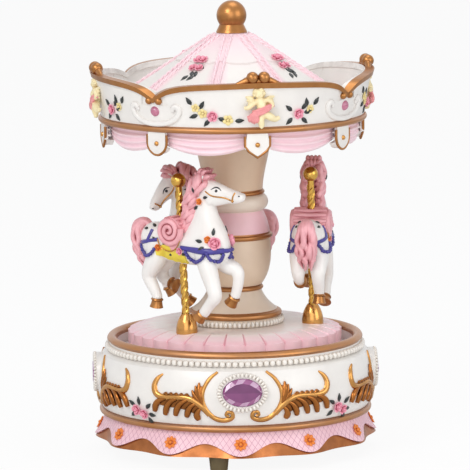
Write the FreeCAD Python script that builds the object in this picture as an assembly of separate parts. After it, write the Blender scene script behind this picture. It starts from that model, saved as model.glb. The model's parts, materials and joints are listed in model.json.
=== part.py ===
import FreeCAD, Part
import math
import os

# Carousel music box: a wind-up musical movement in a round resin base turns a pleated
# turntable, and with it a centre column, a tented canopy and three horses on twisted poles.
# Millimetres, +Z up, origin on the floor at the turning axis, -Y is the front.
# Angles are counted from the front, positive towards +X.

V = FreeCAD.Vector
UP = V(0, 0, 1)
ORIGIN = V(0, 0, 0)

# Fits
FIT = 0.05
SEAT_GAP = 0.3
RUNNING_GAP = 0.7

# Feet
FOOT_COUNT = 3
FOOT_HEIGHT = 6.0
FOOT_TOP_RADIUS = 4.1
FOOT_BOTTOM_RADIUS = 3.5
FOOT_CIRCLE_RADIUS = 49.5
FOOT_FIRST_ANGLE = -8.0

# Plinth with a wavy rim, and the lattice skirt that hangs over it
PLINTH_HEIGHT = 10.0
PLINTH_TOP_RADIUS = 52.6
PLINTH_FOOT_RADIUS = 56.4
PLINTH_OPENING_RADIUS = 44.3
LOBE_COUNT = 12
LOBE_FIRST_ANGLE = 2.0
LOBE_DEPTH = 1.3
SKIRT_THICKNESS = 0.9
SKIRT_HEM_HEIGHT = 0.9
ARCH_RADIUS = 10.5
ARCH_RISE = 4.6

# Base drum
DRUM_HEIGHT = 32.0
DRUM_WAIST_RADIUS = 54.6
DRUM_BELLY_RADIUS = 57.1
DRUM_SHOULDER_RADIUS = 54.4
DRUM_NECK_RADIUS = 51.6
DRUM_WALL = 5.0
DRUM_LEDGE_RADIUS = 38.5
DRUM_LEDGE_THICKNESS = 2.0
BAND_RADIUS = 1.3
NECK_HEIGHT = 4.2
SHOULDER_STEP = 1.4
RIM_TUBE_RADIUS = 1.7
RIM_INNER_RADIUS = 48.6
DECK_DEPTH = 6.6
DECK_THICKNESS = 3.5
BUSH_SEAT_RADIUS = 5.5

# Gems on the drum, each in an oval bezel
GEM_COUNT = 4
GEM_FIRST_ANGLE = 2.8
GEM_HALF_WIDTH = 8.2
GEM_HALF_HEIGHT = 6.0
GEM_RISE = 4.3
GEM_TABLE_SHARE = 0.62
GEM_SIDES = 16
GEM_SEAT_DEPTH = 2.6
GEM_LIFT = 3.0
BEZEL_WIDTH = 2.1
BEZEL_RISE = 1.3

# Bottom plate and its screws
PLATE_THICKNESS = 2.0
PLATE_SCREW_COUNT = 3
PLATE_SCREW_CIRCLE = 41.3
PLATE_SCREW_FIRST_ANGLE = 52.0
SCREW_RADIUS = 1.0
SCREW_HEAD_RADIUS = 1.9
SCREW_HEAD_HEIGHT = 1.2
SCREW_BITE = 1.6

# Musical movement
BEDPLATE_THICKNESS = 2.5
BEDPLATE_RADIUS = 37.5
BEDPLATE_LEFT = -23.0
BEDPLATE_FRONT = -19.0
BEDPLATE_BACK = 17.0
BEDPLATE_SCREW_PLACES = [(-19.0, -8.0), (-19.0, 8.0), (22.0, 13.6), (33.0, -13.0)]
ARBOR_RADIUS = 2.05
ARBOR_TOP_GAP = 1.4
BARREL_RADIUS = 11.4
BARREL_WALL = 1.0
BARREL_HEIGHT = 10.2
BARREL_COVER_THICKNESS = 1.2
CROWN_TEETH = 40
CROWN_PITCH_RADIUS = 13.7
CROWN_FACE = 1.4
CROWN_WHEEL_THICKNESS = 1.6
CROWN_TOOTH_HEIGHT = 1.4
CROWN_TOOTH_ROOT = 0.85
CROWN_TOOTH_TIP = 0.45
SPRING_TURNS = 5
SPRING_THICKNESS = 0.45
SPINDLE_RADIUS = 2.5
SPINDLE_FLANGE_RADIUS = 5.0
SPINDLE_FLANGE_HEIGHT = 1.4
BUSH_FLANGE_RADIUS = 7.5
BUSH_FLANGE_HEIGHT = 0.5
PINION_TEETH = 10
CYLINDER_RADIUS = 5.0
CYLINDER_LENGTH = 10.0
AXLE_RADIUS = 0.9
POST_THICKNESS = 1.3
POST_WIDTH = 4.0
POST_HEAD_ROOM = 2.0
AXIAL_GAP = 0.4
NOTE_COUNT = 18
PIN_RADIUS = 0.12
PIN_HEIGHT = 0.5
PINS_PER_NOTE = 2
COMB_THICKNESS = 0.8
COMB_TOOTH_LENGTH = 8.0
COMB_HEEL = 5.0
COMB_TOOTH_SHARE = 0.7
COMB_TIP_GAP = 0.15
WHEEL_TEETH = 20
TRAIN_PINION_TEETH = 10
TRAIN_MODULE = 0.5
GEAR_WIDTH = 1.4
WORM_WHEEL_TEETH = 16
WORM_PITCH_RADIUS = 1.4
WORM_CORE_RADIUS = 0.85
WORM_TIP_RADIUS = 1.7
WORM_LENGTH = 6.0
WORM_SIDE_GAP = 0.9
WORM_SHAFT_RADIUS = 0.5
THREAD_ROOT_WIDTH = 0.62
THREAD_TIP_WIDTH = 0.3
FAN_RADIUS = 2.9
FAN_HEIGHT = 3.4
FAN_THICKNESS = 0.5
BRIDGE_THICKNESS = 1.4
BRIDGE_POST_WIDTH = 1.6

# Winding key
KEY_WIDTH = 25.0
KEY_HEIGHT = 7.0
KEY_THICKNESS = 2.0
KEY_BOSS_RADIUS = 3.3
KEY_EYE_RADIUS = 1.7
KEY_FLOOR_GAP = 2.0

# Turntable: a pleated, scalloped dish
TURNTABLE_RADIUS = 43.8
TURNTABLE_EDGE = 7.4
TURNTABLE_RISE = 2.6
TURNTABLE_BULGE = 1.6
TURNTABLE_FLAT_RADIUS = 20.5
PLEAT_COUNT = 32
PLEAT_DEPTH = 1.0
PLEAT_WIDTH = 1.5
SCALLOP_DEPTH = 1.0
COLUMN_SPIGOT_RADIUS = 10.0
COLUMN_SPIGOT_LENGTH = 2.0

# Centre column, from its foot to its top
COLUMN_BEAD_RADIUS = 19.6
COLUMN_BEAD_HEIGHT = 3.0
COLUMN_FOOT_RADIUS = 18.2
COLUMN_FOOT_RING = 1.2
COLUMN_BELL_HEIGHT = 8.4
COLUMN_LOW_NECK_RADIUS = 11.0
COLUMN_LOW_RING = 0.9
COLUMN_CUP_HEIGHT = 19.6
COLUMN_CUP_RADIUS = 15.2
COLUMN_MID_RING = 1.0
COLUMN_BULGE_HEIGHT = 9.4
COLUMN_UP_NECK_RADIUS = 12.0
COLUMN_SWELL_HEIGHT = 6.6
COLUMN_SWELL_RADIUS = 14.2
COLUMN_TOP_RING = 0.8
COLUMN_STEM_HEIGHT = 29.0
COLUMN_STEM_NECK_RADIUS = 12.4
COLUMN_TOP_RADIUS = 14.6
COLUMN_TENON_RADIUS = 9.0

# Horses and their poles
HORSE_ANGLES = [-37.0, 83.0, 194.0]
HORSE_DROPS = [0.0, 0.0, 4.0]
POLE_LEAN = 3.2
POLE_CIRCLE_RADIUS = 32.2
POLE_STRANDS = 3
POLE_CORE_RADIUS = 1.35
POLE_STRAND_RISE = 0.28
POLE_STRAND_FOOT = 3.8
POLE_STRAND_CREST = 1.4
POLE_LEAD = 13.0
POLE_SOCKET_DEPTH = 3.0
POLE_ABOVE_SEAT = 61.0
POLE_BALL_RADIUS = 3.05
POLE_BASE_RADIUS = 4.4
POLE_BASE_HEIGHT = 8.4
POLE_BASE_LIP = 1.0
POLE_BASE_TOP_RADIUS = 2.1
HORSE_AXIS_ABOVE_SEAT = 36.0

# Horse trunk and neck: top (forward, height), bottom (forward, height), half width
HORSE_BARREL = [
    ((-20.6, 6.6), (-20.2, 1.6), 2.4),
    ((-17.6, 9.9), (-17.6, -3.0), 5.2),
    ((-11.0, 9.9), (-11.5, -6.4), 6.6),
    ((-3.0, 7.6), (-3.0, -7.4), 6.4),
    ((1.5, 8.2), (6.0, -7.6), 6.4),
    ((3.6, 11.0), (15.0, -6.4), 6.4),
    ((4.6, 14.0), (21.2, -1.0), 5.6),
]
# Raised neck and head
HORSE_NECK = [
    ((5.4, 16.5), (19.3, 6.4), 4.6),
    ((5.8, 20.0), (16.0, 12.4), 3.8),
    ((6.8, 24.0), (14.6, 17.0), 3.2),
    ((9.0, 26.4), (13.4, 19.6), 2.4),
]
# Horse head: top, bottom, half width
HORSE_HEAD = [
    ((8.0, 25.2), (8.0, 21.6), 1.6),
    ((10.5, 26.6), (10.5, 19.4), 2.8),
    ((13.0, 26.8), (13.0, 18.0), 3.2),
    ((18.0, 25.0), (18.0, 18.6), 2.6),
    ((23.4, 22.9), (23.4, 18.3), 2.0),
    ((27.6, 22.3), (27.6, 18.1), 2.0),
    ((30.0, 21.5), (30.0, 18.9), 1.2),
]
# Bowed neck and head
HORSE_BOWED_NECK = [
    ((6.4, 18.2), (20.2, 5.6), 4.7),
    ((9.0, 22.2), (19.0, 11.2), 4.0),
    ((12.0, 25.2), (18.4, 15.6), 3.3),
    ((15.2, 26.8), (18.2, 19.2), 2.4),
]
HORSE_BOWED_HEAD = [
    ((13.6, 26.4), (15.6, 22.2), 1.6),
    ((16.2, 27.6), (16.4, 19.4), 2.8),
    ((20.6, 26.4), (17.6, 17.2), 3.2),
    ((23.8, 22.4), (19.6, 15.8), 2.6),
    ((26.0, 18.4), (22.0, 14.0), 2.0),
    ((27.6, 15.0), (23.6, 12.0), 2.0),
    ((28.0, 12.8), (25.4, 11.2), 1.2),
]
# Horse limbs: forward, side, height, radius, from the trunk to the end
HORSE_OUTER_FORELEG = [
    (12.0, -2.8, -1.0, 2.6),
    (14.2, -3.6, -8.0, 3.2),
    (18.0, -4.0, -17.6, 2.4),
    (15.0, -4.0, -22.4, 1.7),
    (12.4, -4.0, -25.2, 1.7),
    (10.8, -4.0, -26.8, 2.1),
    (9.0, -4.0, -29.0, 2.4),
]
HORSE_INNER_FORELEG = [
    (12.0, 2.8, -1.0, 2.6),
    (17.0, 3.6, -6.0, 3.0),
    (22.8, 4.0, -8.4, 2.4),
    (23.8, 4.0, -12.6, 1.8),
    (22.6, 4.0, -17.6, 1.7),
    (21.4, 4.0, -19.6, 2.1),
    (19.4, 4.0, -22.2, 2.4),
]
HORSE_OUTER_HIND_LEG = [
    (-11.6, -3.2, 0.0, 2.6),
    (-12.4, -3.8, -6.5, 3.4),
    (-16.6, -4.0, -12.4, 2.5),
    (-14.4, -4.0, -18.0, 1.8),
    (-11.8, -4.0, -21.8, 1.7),
    (-11.6, -4.0, -23.6, 2.1),
    (-11.8, -4.0, -26.4, 2.4),
]
HORSE_INNER_HIND_LEG = [
    (-12.0, 3.2, 0.0, 2.6),
    (-13.2, 3.8, -6.5, 3.2),
    (-16.2, 4.0, -11.6, 2.3),
    (-14.8, 4.0, -15.2, 1.8),
    (-12.0, 4.0, -16.8, 1.6),
    (-10.4, 4.0, -17.2, 2.0),
    (-8.2, 4.0, -17.8, 2.3),
]
HORSE_TAIL = [
    (-17.0, 0.0, 4.6, 1.4),
    (-21.5, 0.0, 8.6, 2.2),
    (-24.6, 0.0, 6.4, 2.6),
    (-25.0, 0.0, 0.5, 2.6),
    (-23.0, 0.0, -5.0, 2.0),
    (-20.6, 0.0, -9.0, 0.8),
]
HORSE_MANE = [
    (10.0, 0.0, 28.2, 1.6),
    (6.2, 0.0, 26.4, 2.4),
    (4.0, 0.0, 20.6, 2.4),
    (3.0, 0.0, 14.6, 2.4),
    (1.8, 0.0, 9.6, 2.0),
    (1.0, 0.0, 6.0, 1.0),
]
HORSE_BOWED_MANE = [
    (15.6, 0.0, 28.6, 1.6),
    (11.6, 0.0, 27.0, 2.4),
    (8.2, 0.0, 22.6, 2.4),
    (5.6, 0.0, 17.2, 2.4),
    (3.4, 0.0, 11.6, 2.2),
    (1.6, 0.0, 6.0, 1.0),
]
HORSE_EAR_SIDE = 1.5
HORSE_EAR_PLACE = (10.4, 25.4)
HORSE_BOWED_EAR_PLACE = (16.0, 26.0)
HORSE_EAR_RADIUS = 1.1
HORSE_EAR_LENGTH = 5.0
SADDLE_PLACE = (-4.6, 6.0)
SADDLE_RADIUS = 6.2
SADDLE_WIDTH = 14.4
SADDLE_ROUND = 1.2

# Canopy: cornice, valance, roof and finial
CEILING_THICKNESS = 2.5
CORNICE_FOOT_RADIUS = 53.6
CORNICE_MID_RADIUS = 54.9
CORNICE_TOP_RADIUS = 57.4
CORNICE_WALL = 2.6
CORNICE_HEIGHT = 20.6
CORNICE_RING_RADIUS = 1.2
PANEL_COUNT = 4
PANEL_FIRST_ANGLE = 10.6
# Top line of one panel: share of the half width, drop below the middle
PANEL_TOP_LINE = [(0.3, 0.3), (0.6, 0.9), (0.78, 1.9), (0.91, 4.2), (1.0, 7.2)]
MOULDING_HEIGHT = 2.2
MOULDING_OVERHANG = 0.7
HEART_RADIUS = 2.5
HEART_SPREAD = 2.3
HEART_LIFT = 1.9
NOTCH_BALL_RADIUS = 1.5
NOTCH_BALL_ANGLE = 2.4
CORNICE_GEM_RADIUS = 2.1
CORNICE_GEM_RISE = 1.4
CORNICE_GEM_HEIGHT = 8.6

VALANCE_DROP = 8.2
VALANCE_RADIUS = 51.4
VALANCE_WALL = 1.8
SWAG_COUNT = 8
SWAG_SAG = 2.6
FOLD_COUNT = 3
FOLD_RISE = 1.1
FOLD_SHARE = 0.6
SHIELD_WIDTH = 10.4
SHIELD_HEIGHT = 9.0
SHIELD_POINT = 3.0
SHIELD_THICKNESS = 1.2
SHIELD_GEM_RADIUS = 1.0
SHIELD_GEM_RISE = 0.9

ROOF_EAVES_RADIUS = 49.6
ROOF_EAVES_HEIGHT = 4.6
ROOF_RISE = 28.5
ROOF_TOP_RADIUS = 5.8
ROOF_WALL = 2.4
ROOF_RIB_COUNT = 8
ROOF_RIB_RADIUS = 0.75
ROOF_RIB_SPREAD = 2.6
ROOF_TIER_RADIUS = 23.0
ROOF_TIER_RISE = 0.7
ROOF_TIER_SCALLOP = 1.6

FINIAL_COLLAR_RADIUS = 6.4
FINIAL_COLLAR_HEIGHT = 3.2
FINIAL_NECK_RADIUS = 4.9
FINIAL_BALL_RADIUS = 6.1
FINIAL_SPIGOT_RADIUS = 2.4
FINIAL_SPIGOT_LENGTH = 3.0

# Cherub on each cornice panel
CHERUB_HEAD_RADIUS = 2.4
CHERUB_BODY = (2.6, 2.2, 3.6)
CHERUB_LIMB_RADIUS = 1.15
CHERUB_WING = (2.6, 0.9, 3.2)
CHERUB_HEIGHT = 10.4

# Levels and places that follow from the sizes above
PLINTH_TOP = FOOT_HEIGHT + PLINTH_HEIGHT
RIM_TOP = PLINTH_TOP + DRUM_HEIGHT
DECK_TOP = RIM_TOP - DECK_DEPTH
DECK_BOTTOM = DECK_TOP - DECK_THICKNESS
PLATE_BOTTOM = PLINTH_TOP - PLATE_THICKNESS
PLATE_RADIUS = PLINTH_OPENING_RADIUS - SEAT_GAP
BEDPLATE_TOP = PLINTH_TOP + BEDPLATE_THICKNESS
CROWN_BOTTOM = BEDPLATE_TOP + RUNNING_GAP
CROWN_TOP = CROWN_BOTTOM + CROWN_WHEEL_THICKNESS
BARREL_TOP = CROWN_TOP + BARREL_HEIGHT
COVER_TOP = BARREL_TOP + BARREL_COVER_THICKNESS
CROWN_PITCH = 2 * math.pi * CROWN_PITCH_RADIUS / CROWN_TEETH
PINION_RADIUS = CROWN_PITCH * PINION_TEETH / (2 * math.pi)
AXLE_Z = CROWN_TOP + CROWN_TOOTH_HEIGHT / 2 + PINION_RADIUS
PINION_START = CROWN_PITCH_RADIUS - CROWN_FACE / 2
FIRST_POST = PINION_START + CROWN_FACE + AXIAL_GAP
DRUM_START = FIRST_POST + POST_THICKNESS + AXIAL_GAP
WHEEL_START = DRUM_START + CYLINDER_LENGTH + AXIAL_GAP
SECOND_POST = WHEEL_START + GEAR_WIDTH + AXIAL_GAP
WORM_WHEEL_START = SECOND_POST + POST_THICKNESS + AXIAL_GAP + WORM_SIDE_GAP
THIRD_POST = WORM_WHEEL_START + GEAR_WIDTH + AXIAL_GAP
TRAIN_Y = TRAIN_MODULE * (WHEEL_TEETH + TRAIN_PINION_TEETH) / 2
WORM_WHEEL_RADIUS = TRAIN_MODULE * WORM_WHEEL_TEETH / 2
WORM_X = WORM_WHEEL_START + GEAR_WIDTH / 2
WORM_Y = TRAIN_Y - WORM_WHEEL_RADIUS - WORM_PITCH_RADIUS
FAN_BOTTOM = AXLE_Z + WORM_LENGTH / 2 + AXIAL_GAP
BRIDGE_BOTTOM = FAN_BOTTOM + FAN_HEIGHT + AXIAL_GAP
BUSH_TOP = DECK_TOP + BUSH_FLANGE_HEIGHT
TURNTABLE_BOTTOM = BUSH_TOP + SEAT_GAP
TURNTABLE_TOP = TURNTABLE_BOTTOM + TURNTABLE_EDGE + TURNTABLE_RISE
TURNTABLE_SPAN = TURNTABLE_RADIUS - TURNTABLE_FLAT_RADIUS
SEAT_SHARE = (TURNTABLE_RADIUS - POLE_CIRCLE_RADIUS - POLE_BASE_RADIUS) / TURNTABLE_SPAN
SEAT_Z = (
    TURNTABLE_BOTTOM
    + TURNTABLE_EDGE
    + TURNTABLE_RISE * SEAT_SHARE
    + 4 * TURNTABLE_BULGE * SEAT_SHARE * (1 - SEAT_SHARE)
    - SEAT_GAP
)
HORSE_AXIS_Z = SEAT_Z + HORSE_AXIS_ABOVE_SEAT
POLE_TIP_RADIUS = POLE_CORE_RADIUS + POLE_STRAND_RISE
POLE_BALL_Z = SEAT_Z + POLE_ABOVE_SEAT + POLE_BALL_RADIUS / 2
COLUMN_TOP = (
    TURNTABLE_TOP
    + COLUMN_BEAD_HEIGHT
    + 2 * COLUMN_FOOT_RING
    + COLUMN_BELL_HEIGHT
    + 2 * COLUMN_LOW_RING
    + COLUMN_CUP_HEIGHT
    + 2 * COLUMN_MID_RING
    + COLUMN_BULGE_HEIGHT
    + COLUMN_SWELL_HEIGHT
    + 2 * COLUMN_TOP_RING
    + COLUMN_STEM_HEIGHT
)
CEILING_TOP = COLUMN_TOP + CEILING_THICKNESS
CORNICE_TOP = COLUMN_TOP + CORNICE_HEIGHT
ROOF_TOP = CEILING_TOP + ROOF_EAVES_HEIGHT + ROOF_RISE
FINIAL_BALL_Z = ROOF_TOP + FINIAL_COLLAR_HEIGHT + math.sqrt(
    FINIAL_BALL_RADIUS**2 - FINIAL_NECK_RADIUS**2
)
HEART_Z = CORNICE_TOP + HEART_LIFT


# Shared shapes


def polar(radius, angle, z=0.0):
    """Point at a radius and an angle from the front."""
    turn = math.radians(angle)
    return V(radius * math.sin(turn), -radius * math.cos(turn), z)


def turned(shape, angle):
    """Copy of a shape turned about the upright axis."""
    copy = shape.copy()
    copy.rotate(ORIGIN, UP, angle)
    return copy


def around(shape, count, first=0.0):
    """Equal copies of a shape round the upright axis."""
    return [turned(shape, first + i * 360.0 / count) for i in range(count)]


def outline_wire(steps, place):
    """Closed wire through steps: a point, an arc (middle, end) or a curve [points]."""
    edges = []
    at = steps[0]
    for step in steps[1:] + [steps[0]]:
        if isinstance(step, list):
            curve = Part.BSplineCurve()
            curve.interpolate([place(*p) for p in [at] + step])
            edges.append(curve.toShape())
            at = step[-1]
        elif isinstance(step[0], tuple):
            middle, end = step
            edges.append(Part.Arc(place(*at), place(*middle), place(*end)).toShape())
            at = end
        elif place(*at).distanceToPoint(place(*step)) > 1e-6:
            edges.append(Part.makeLine(place(*at), place(*step)))
            at = step
    return Part.Wire(edges)


def lathe(steps):
    """Solid of revolution about the upright axis from a half section of (radius, z)."""
    wire = outline_wire(steps, lambda r, z: V(r, 0, z))
    return Part.Face(wire).revolve(ORIGIN, UP, 360)


def closed_curve(points):
    """Smooth closed wire through points."""
    curve = Part.BSplineCurve()
    curve.interpolate(Points=points, PeriodicFlag=True)
    return Part.Wire(curve.toShape())


def oval(centre, across, along, half_across, half_along, count=8):
    """Oval wire in the plane of two directions."""
    points = []
    for i in range(count):
        turn = 2 * math.pi * i / count
        points.append(
            centre
            + across * (half_across * math.cos(turn))
            + along * (half_along * math.sin(turn))
        )
    return closed_curve(points)


def loft(wires, ruled=False):
    """Solid through a row of wires."""
    return Part.makeLoft(wires, True, ruled)


def limb(points, side=V(0, 1, 0)):
    """Round tapered solid along points of (place, radius)."""
    wires = []
    for i, (place, radius) in enumerate(points):
        before = points[max(i - 1, 0)][0]
        after = points[min(i + 1, len(points) - 1)][0]
        along = (after - before).normalize()
        up = along.cross(side).normalize()
        wires.append(oval(place, up.cross(along), up, radius, radius))
    return loft(wires)


def fused(shapes):
    """One solid from shapes that overlap."""
    whole = shapes[0]
    for shape in shapes[1:]:
        whole = whole.fuse(shape)
    return whole.Solids[0] if len(whole.Solids) == 1 else whole


def ellipsoid(centre, half_sizes):
    """Ellipsoid with its axes along X, Y and Z."""
    ball = Part.makeSphere(1.0)
    matrix = FreeCAD.Matrix()
    matrix.scale(V(*half_sizes))
    matrix.move(centre)
    return ball.transformGeometry(matrix)


def cylinder(radius, height, base, axis=UP):
    """Plain cylinder from the middle of its base."""
    return Part.makeCylinder(radius, height, base, axis)


def dome(radius, rise, base, axis):
    """Round cabochon: a ball cut by its seat."""
    ball_radius = (radius**2 + rise**2) / (2 * rise)
    ball = Part.makeSphere(ball_radius, base - axis * (ball_radius - rise))
    return ball.common(cylinder(radius + FIT, rise + FIT, base, axis))


def screw(place, length, head_up):
    """Round-headed screw: the seat of its head, and the way that its head points."""
    axis = UP if head_up else UP * -1
    head = cylinder(SCREW_HEAD_RADIUS, SCREW_HEAD_HEIGHT, place, axis)
    shank = cylinder(SCREW_RADIUS, length, place, axis * -1)
    return fused([head, shank])


def gear(teeth, module, width, phase=0.0):
    """Spur gear about X from x = 0, with a tooth at the angle phase from +Y towards +Z."""
    radius = module * teeth / 2
    pitch = 2 * math.pi / teeth
    flank = [
        (radius - 1.15 * module, 0.30),
        (radius, 0.20),
        (radius + 0.85 * module, 0.09),
    ]
    points = []
    for i in range(teeth):
        middle = math.radians(phase) + i * pitch
        for r, share in flank:
            points.append((r, middle - share * pitch))
        for r, share in reversed(flank):
            points.append((r, middle + share * pitch))
    corners = [V(0, r * math.cos(a), r * math.sin(a)) for r, a in points]
    face = Part.Face(Part.makePolygon(corners + corners[:1]))
    return face.extrude(V(width, 0, 0))


# Base


def foot():
    """Tapered rubber foot."""
    return Part.makeCone(FOOT_BOTTOM_RADIUS, FOOT_TOP_RADIUS, FOOT_HEIGHT)


def wavy_wire(radius, depth, z):
    """Closed wire with one outward lobe at each flower."""
    points = []
    count = LOBE_COUNT * 6
    for i in range(count):
        angle = LOBE_FIRST_ANGLE + 360.0 * i / count
        swell = math.cos(math.radians(LOBE_COUNT * (angle - LOBE_FIRST_ANGLE)))
        points.append(polar(radius + depth * swell, angle, z))
    return closed_curve(points)


def flared_body(offset, bottom):
    """Wavy flared body of the plinth, grown outwards by offset."""
    span = PLINTH_TOP - bottom
    spread = PLINTH_FOOT_RADIUS - PLINTH_TOP_RADIUS
    wires = []
    for share in (0.0, 0.4, 0.75, 1.0):
        radius = PLINTH_TOP_RADIUS + offset + spread * share**1.4
        wires.append(wavy_wire(radius, LOBE_DEPTH * share, PLINTH_TOP - span * share))
    return loft(wires)


def plinth():
    """Gilt plinth ring with a round opening for the winding key."""
    opening = cylinder(PLINTH_OPENING_RADIUS, PLINTH_HEIGHT, V(0, 0, FOOT_HEIGHT))
    return flared_body(0.0, FOOT_HEIGHT).cut(opening)


def lattice_skirt():
    """Skirt over the plinth, its hem drawn up in an arch between two flowers."""
    hem = FOOT_HEIGHT + SKIRT_HEM_HEIGHT
    reach = PLINTH_FOOT_RADIUS + LOBE_DEPTH + SKIRT_THICKNESS + RUNNING_GAP
    arch = cylinder(ARCH_RADIUS, reach, V(0, 0, hem + ARCH_RISE - ARCH_RADIUS), V(0, -1, 0))
    arches = around(arch, LOBE_COUNT, LOBE_FIRST_ANGLE + 180.0 / LOBE_COUNT)
    below = cylinder(reach, hem, ORIGIN)
    body = flared_body(SKIRT_THICKNESS, FOOT_HEIGHT)
    return body.cut(flared_body(0.0, FOOT_HEIGHT)).cut(arches + [below])


def drum():
    """Bellied casing with a deck, a rolled rim and a gilt band at its foot."""
    cavity_radius = DRUM_WAIST_RADIUS - DRUM_WALL
    shoulder = RIM_TOP - RIM_TUBE_RADIUS - NECK_HEIGHT
    belly_z = PLINTH_TOP + 2 * BAND_RADIUS
    belly_mid = (belly_z + shoulder - SHOULDER_STEP) / 2
    rim_outer = DRUM_NECK_RADIUS + RIM_TUBE_RADIUS / 2
    rim_z = RIM_TOP - RIM_TUBE_RADIUS
    return lathe(
        [
            (DRUM_LEDGE_RADIUS, PLINTH_TOP),
            (DRUM_WAIST_RADIUS, PLINTH_TOP),
            (
                (DRUM_WAIST_RADIUS + BAND_RADIUS, PLINTH_TOP + BAND_RADIUS),
                (DRUM_WAIST_RADIUS, belly_z),
            ),
            (
                (DRUM_BELLY_RADIUS, belly_mid),
                (DRUM_SHOULDER_RADIUS, shoulder - SHOULDER_STEP),
            ),
            (DRUM_NECK_RADIUS, shoulder),
            (DRUM_NECK_RADIUS, rim_z - RIM_TUBE_RADIUS / 2),
            (rim_outer, rim_z),
            ((rim_outer - RIM_TUBE_RADIUS, RIM_TOP), (RIM_INNER_RADIUS, rim_z)),
            (RIM_INNER_RADIUS, DECK_TOP),
            (BUSH_SEAT_RADIUS, DECK_TOP),
            (BUSH_SEAT_RADIUS, DECK_BOTTOM),
            (cavity_radius, DECK_BOTTOM),
            (cavity_radius, PLINTH_TOP + DRUM_LEDGE_THICKNESS),
            (DRUM_LEDGE_RADIUS, PLINTH_TOP + DRUM_LEDGE_THICKNESS),
        ]
    )


def gem_height():
    """Height of the gems, above the middle of the drum's belly."""
    shoulder = RIM_TOP - RIM_TUBE_RADIUS - NECK_HEIGHT - SHOULDER_STEP
    return (PLINTH_TOP + 2 * BAND_RADIUS + shoulder) / 2 + GEM_LIFT


def facing_oval(distance, half_width, half_height, sides):
    """Flat oval of straight sides that faces the front at a distance from the axis."""
    corners = []
    for i in range(sides):
        turn = 2 * math.pi * (i + 0.5) / sides
        corners.append(
            V(
                half_width * math.cos(turn),
                -distance,
                gem_height() + half_height * math.sin(turn),
            )
        )
    return Part.makePolygon(corners + corners[:1])


def gem():
    """Faceted oval gem: a girdle, sloped crown facets and a flat table."""
    seat = DRUM_BELLY_RADIUS - GEM_SEAT_DEPTH
    girdle = seat + GEM_RISE / 3
    table = seat + GEM_RISE
    wires = [
        facing_oval(d, GEM_HALF_WIDTH * s, GEM_HALF_HEIGHT * s, GEM_SIDES)
        for d, s in ((seat, 1.0), (girdle, 1.0), (table, GEM_TABLE_SHARE))
    ]
    return loft(wires, ruled=True)


def gem_pocket():
    """Flat-bottomed pocket in the drum for one gem."""
    seat = DRUM_BELLY_RADIUS - GEM_SEAT_DEPTH
    wires = [
        facing_oval(d, GEM_HALF_WIDTH + FIT, GEM_HALF_HEIGHT + FIT, GEM_SIDES)
        for d in (seat, seat + GEM_RISE)
    ]
    return loft(wires, ruled=True)


def gem_bezels(casing):
    """Raised oval border round each gem, seated on the drum's belly."""
    near = DRUM_SHOULDER_RADIUS - DRUM_WALL / 2
    far = DRUM_BELLY_RADIUS + BEZEL_RISE
    wide = GEM_HALF_WIDTH + BEZEL_WIDTH
    high = GEM_HALF_HEIGHT + BEZEL_WIDTH
    block = loft(
        [facing_oval(d, wide, high, 2 * GEM_SIDES) for d in (near, far)], ruled=True
    )
    hole = loft(
        [
            facing_oval(d, GEM_HALF_WIDTH + FIT, GEM_HALF_HEIGHT + FIT, GEM_SIDES)
            for d in (near, far)
        ],
        ruled=True,
    )
    border = block.cut(hole).cut(turned(casing, -GEM_FIRST_ANGLE))
    main = max(border.Solids, key=lambda solid: solid.Volume)
    return Part.Compound(around(main, GEM_COUNT, GEM_FIRST_ANGLE))


def bottom_plate():
    """Round closing plate with holes for the winding arbor and the screws."""
    plate = cylinder(PLATE_RADIUS, PLATE_THICKNESS, V(0, 0, PLATE_BOTTOM))
    holes = [cylinder(ARBOR_RADIUS + SEAT_GAP, PLATE_THICKNESS, V(0, 0, PLATE_BOTTOM))]
    for angle in plate_screw_angles():
        base = polar(PLATE_SCREW_CIRCLE, angle, PLATE_BOTTOM)
        holes.append(cylinder(SCREW_RADIUS + FIT, PLATE_THICKNESS, base))
    for x, y in BEDPLATE_SCREW_PLACES:
        holes.append(
            cylinder(SCREW_RADIUS + FIT, PLATE_THICKNESS, V(x, y, PLATE_BOTTOM))
        )
    return plate.cut(holes)


def plate_screw_angles():
    """Angles of the screws that hold the bottom plate."""
    step = 360.0 / PLATE_SCREW_COUNT
    return [PLATE_SCREW_FIRST_ANGLE + i * step for i in range(PLATE_SCREW_COUNT)]


def plate_screw_holes():
    """Holes for the plate's screws in the drum's ledge."""
    holes = []
    for angle in plate_screw_angles():
        base = polar(PLATE_SCREW_CIRCLE, angle, PLINTH_TOP)
        holes.append(cylinder(SCREW_RADIUS + FIT, DRUM_LEDGE_THICKNESS, base))
    return holes


def plate_screws():
    """Screws that hold the bottom plate up against the drum's ledge."""
    length = PLATE_THICKNESS + SCREW_BITE
    return Part.Compound(
        [
            screw(polar(PLATE_SCREW_CIRCLE, angle, PLATE_BOTTOM), length, False)
            for angle in plate_screw_angles()
        ]
    )


def turntable_bush():
    """Flanged bearing bush in the deck."""
    bore = SPINDLE_RADIUS + FIT
    return lathe(
        [
            (bore, DECK_BOTTOM),
            (BUSH_SEAT_RADIUS - FIT, DECK_BOTTOM),
            (BUSH_SEAT_RADIUS - FIT, DECK_TOP),
            (BUSH_FLANGE_RADIUS, DECK_TOP),
            (BUSH_FLANGE_RADIUS, BUSH_TOP),
            (bore, BUSH_TOP),
        ]
    )


# Musical movement


def post(x, y, top):
    """Bearing post that stands on the bedplate."""
    base = V(x, y - POST_WIDTH / 2, PLINTH_TOP)
    return Part.makeBox(POST_THICKNESS, POST_WIDTH, top - PLINTH_TOP, base)


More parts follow.
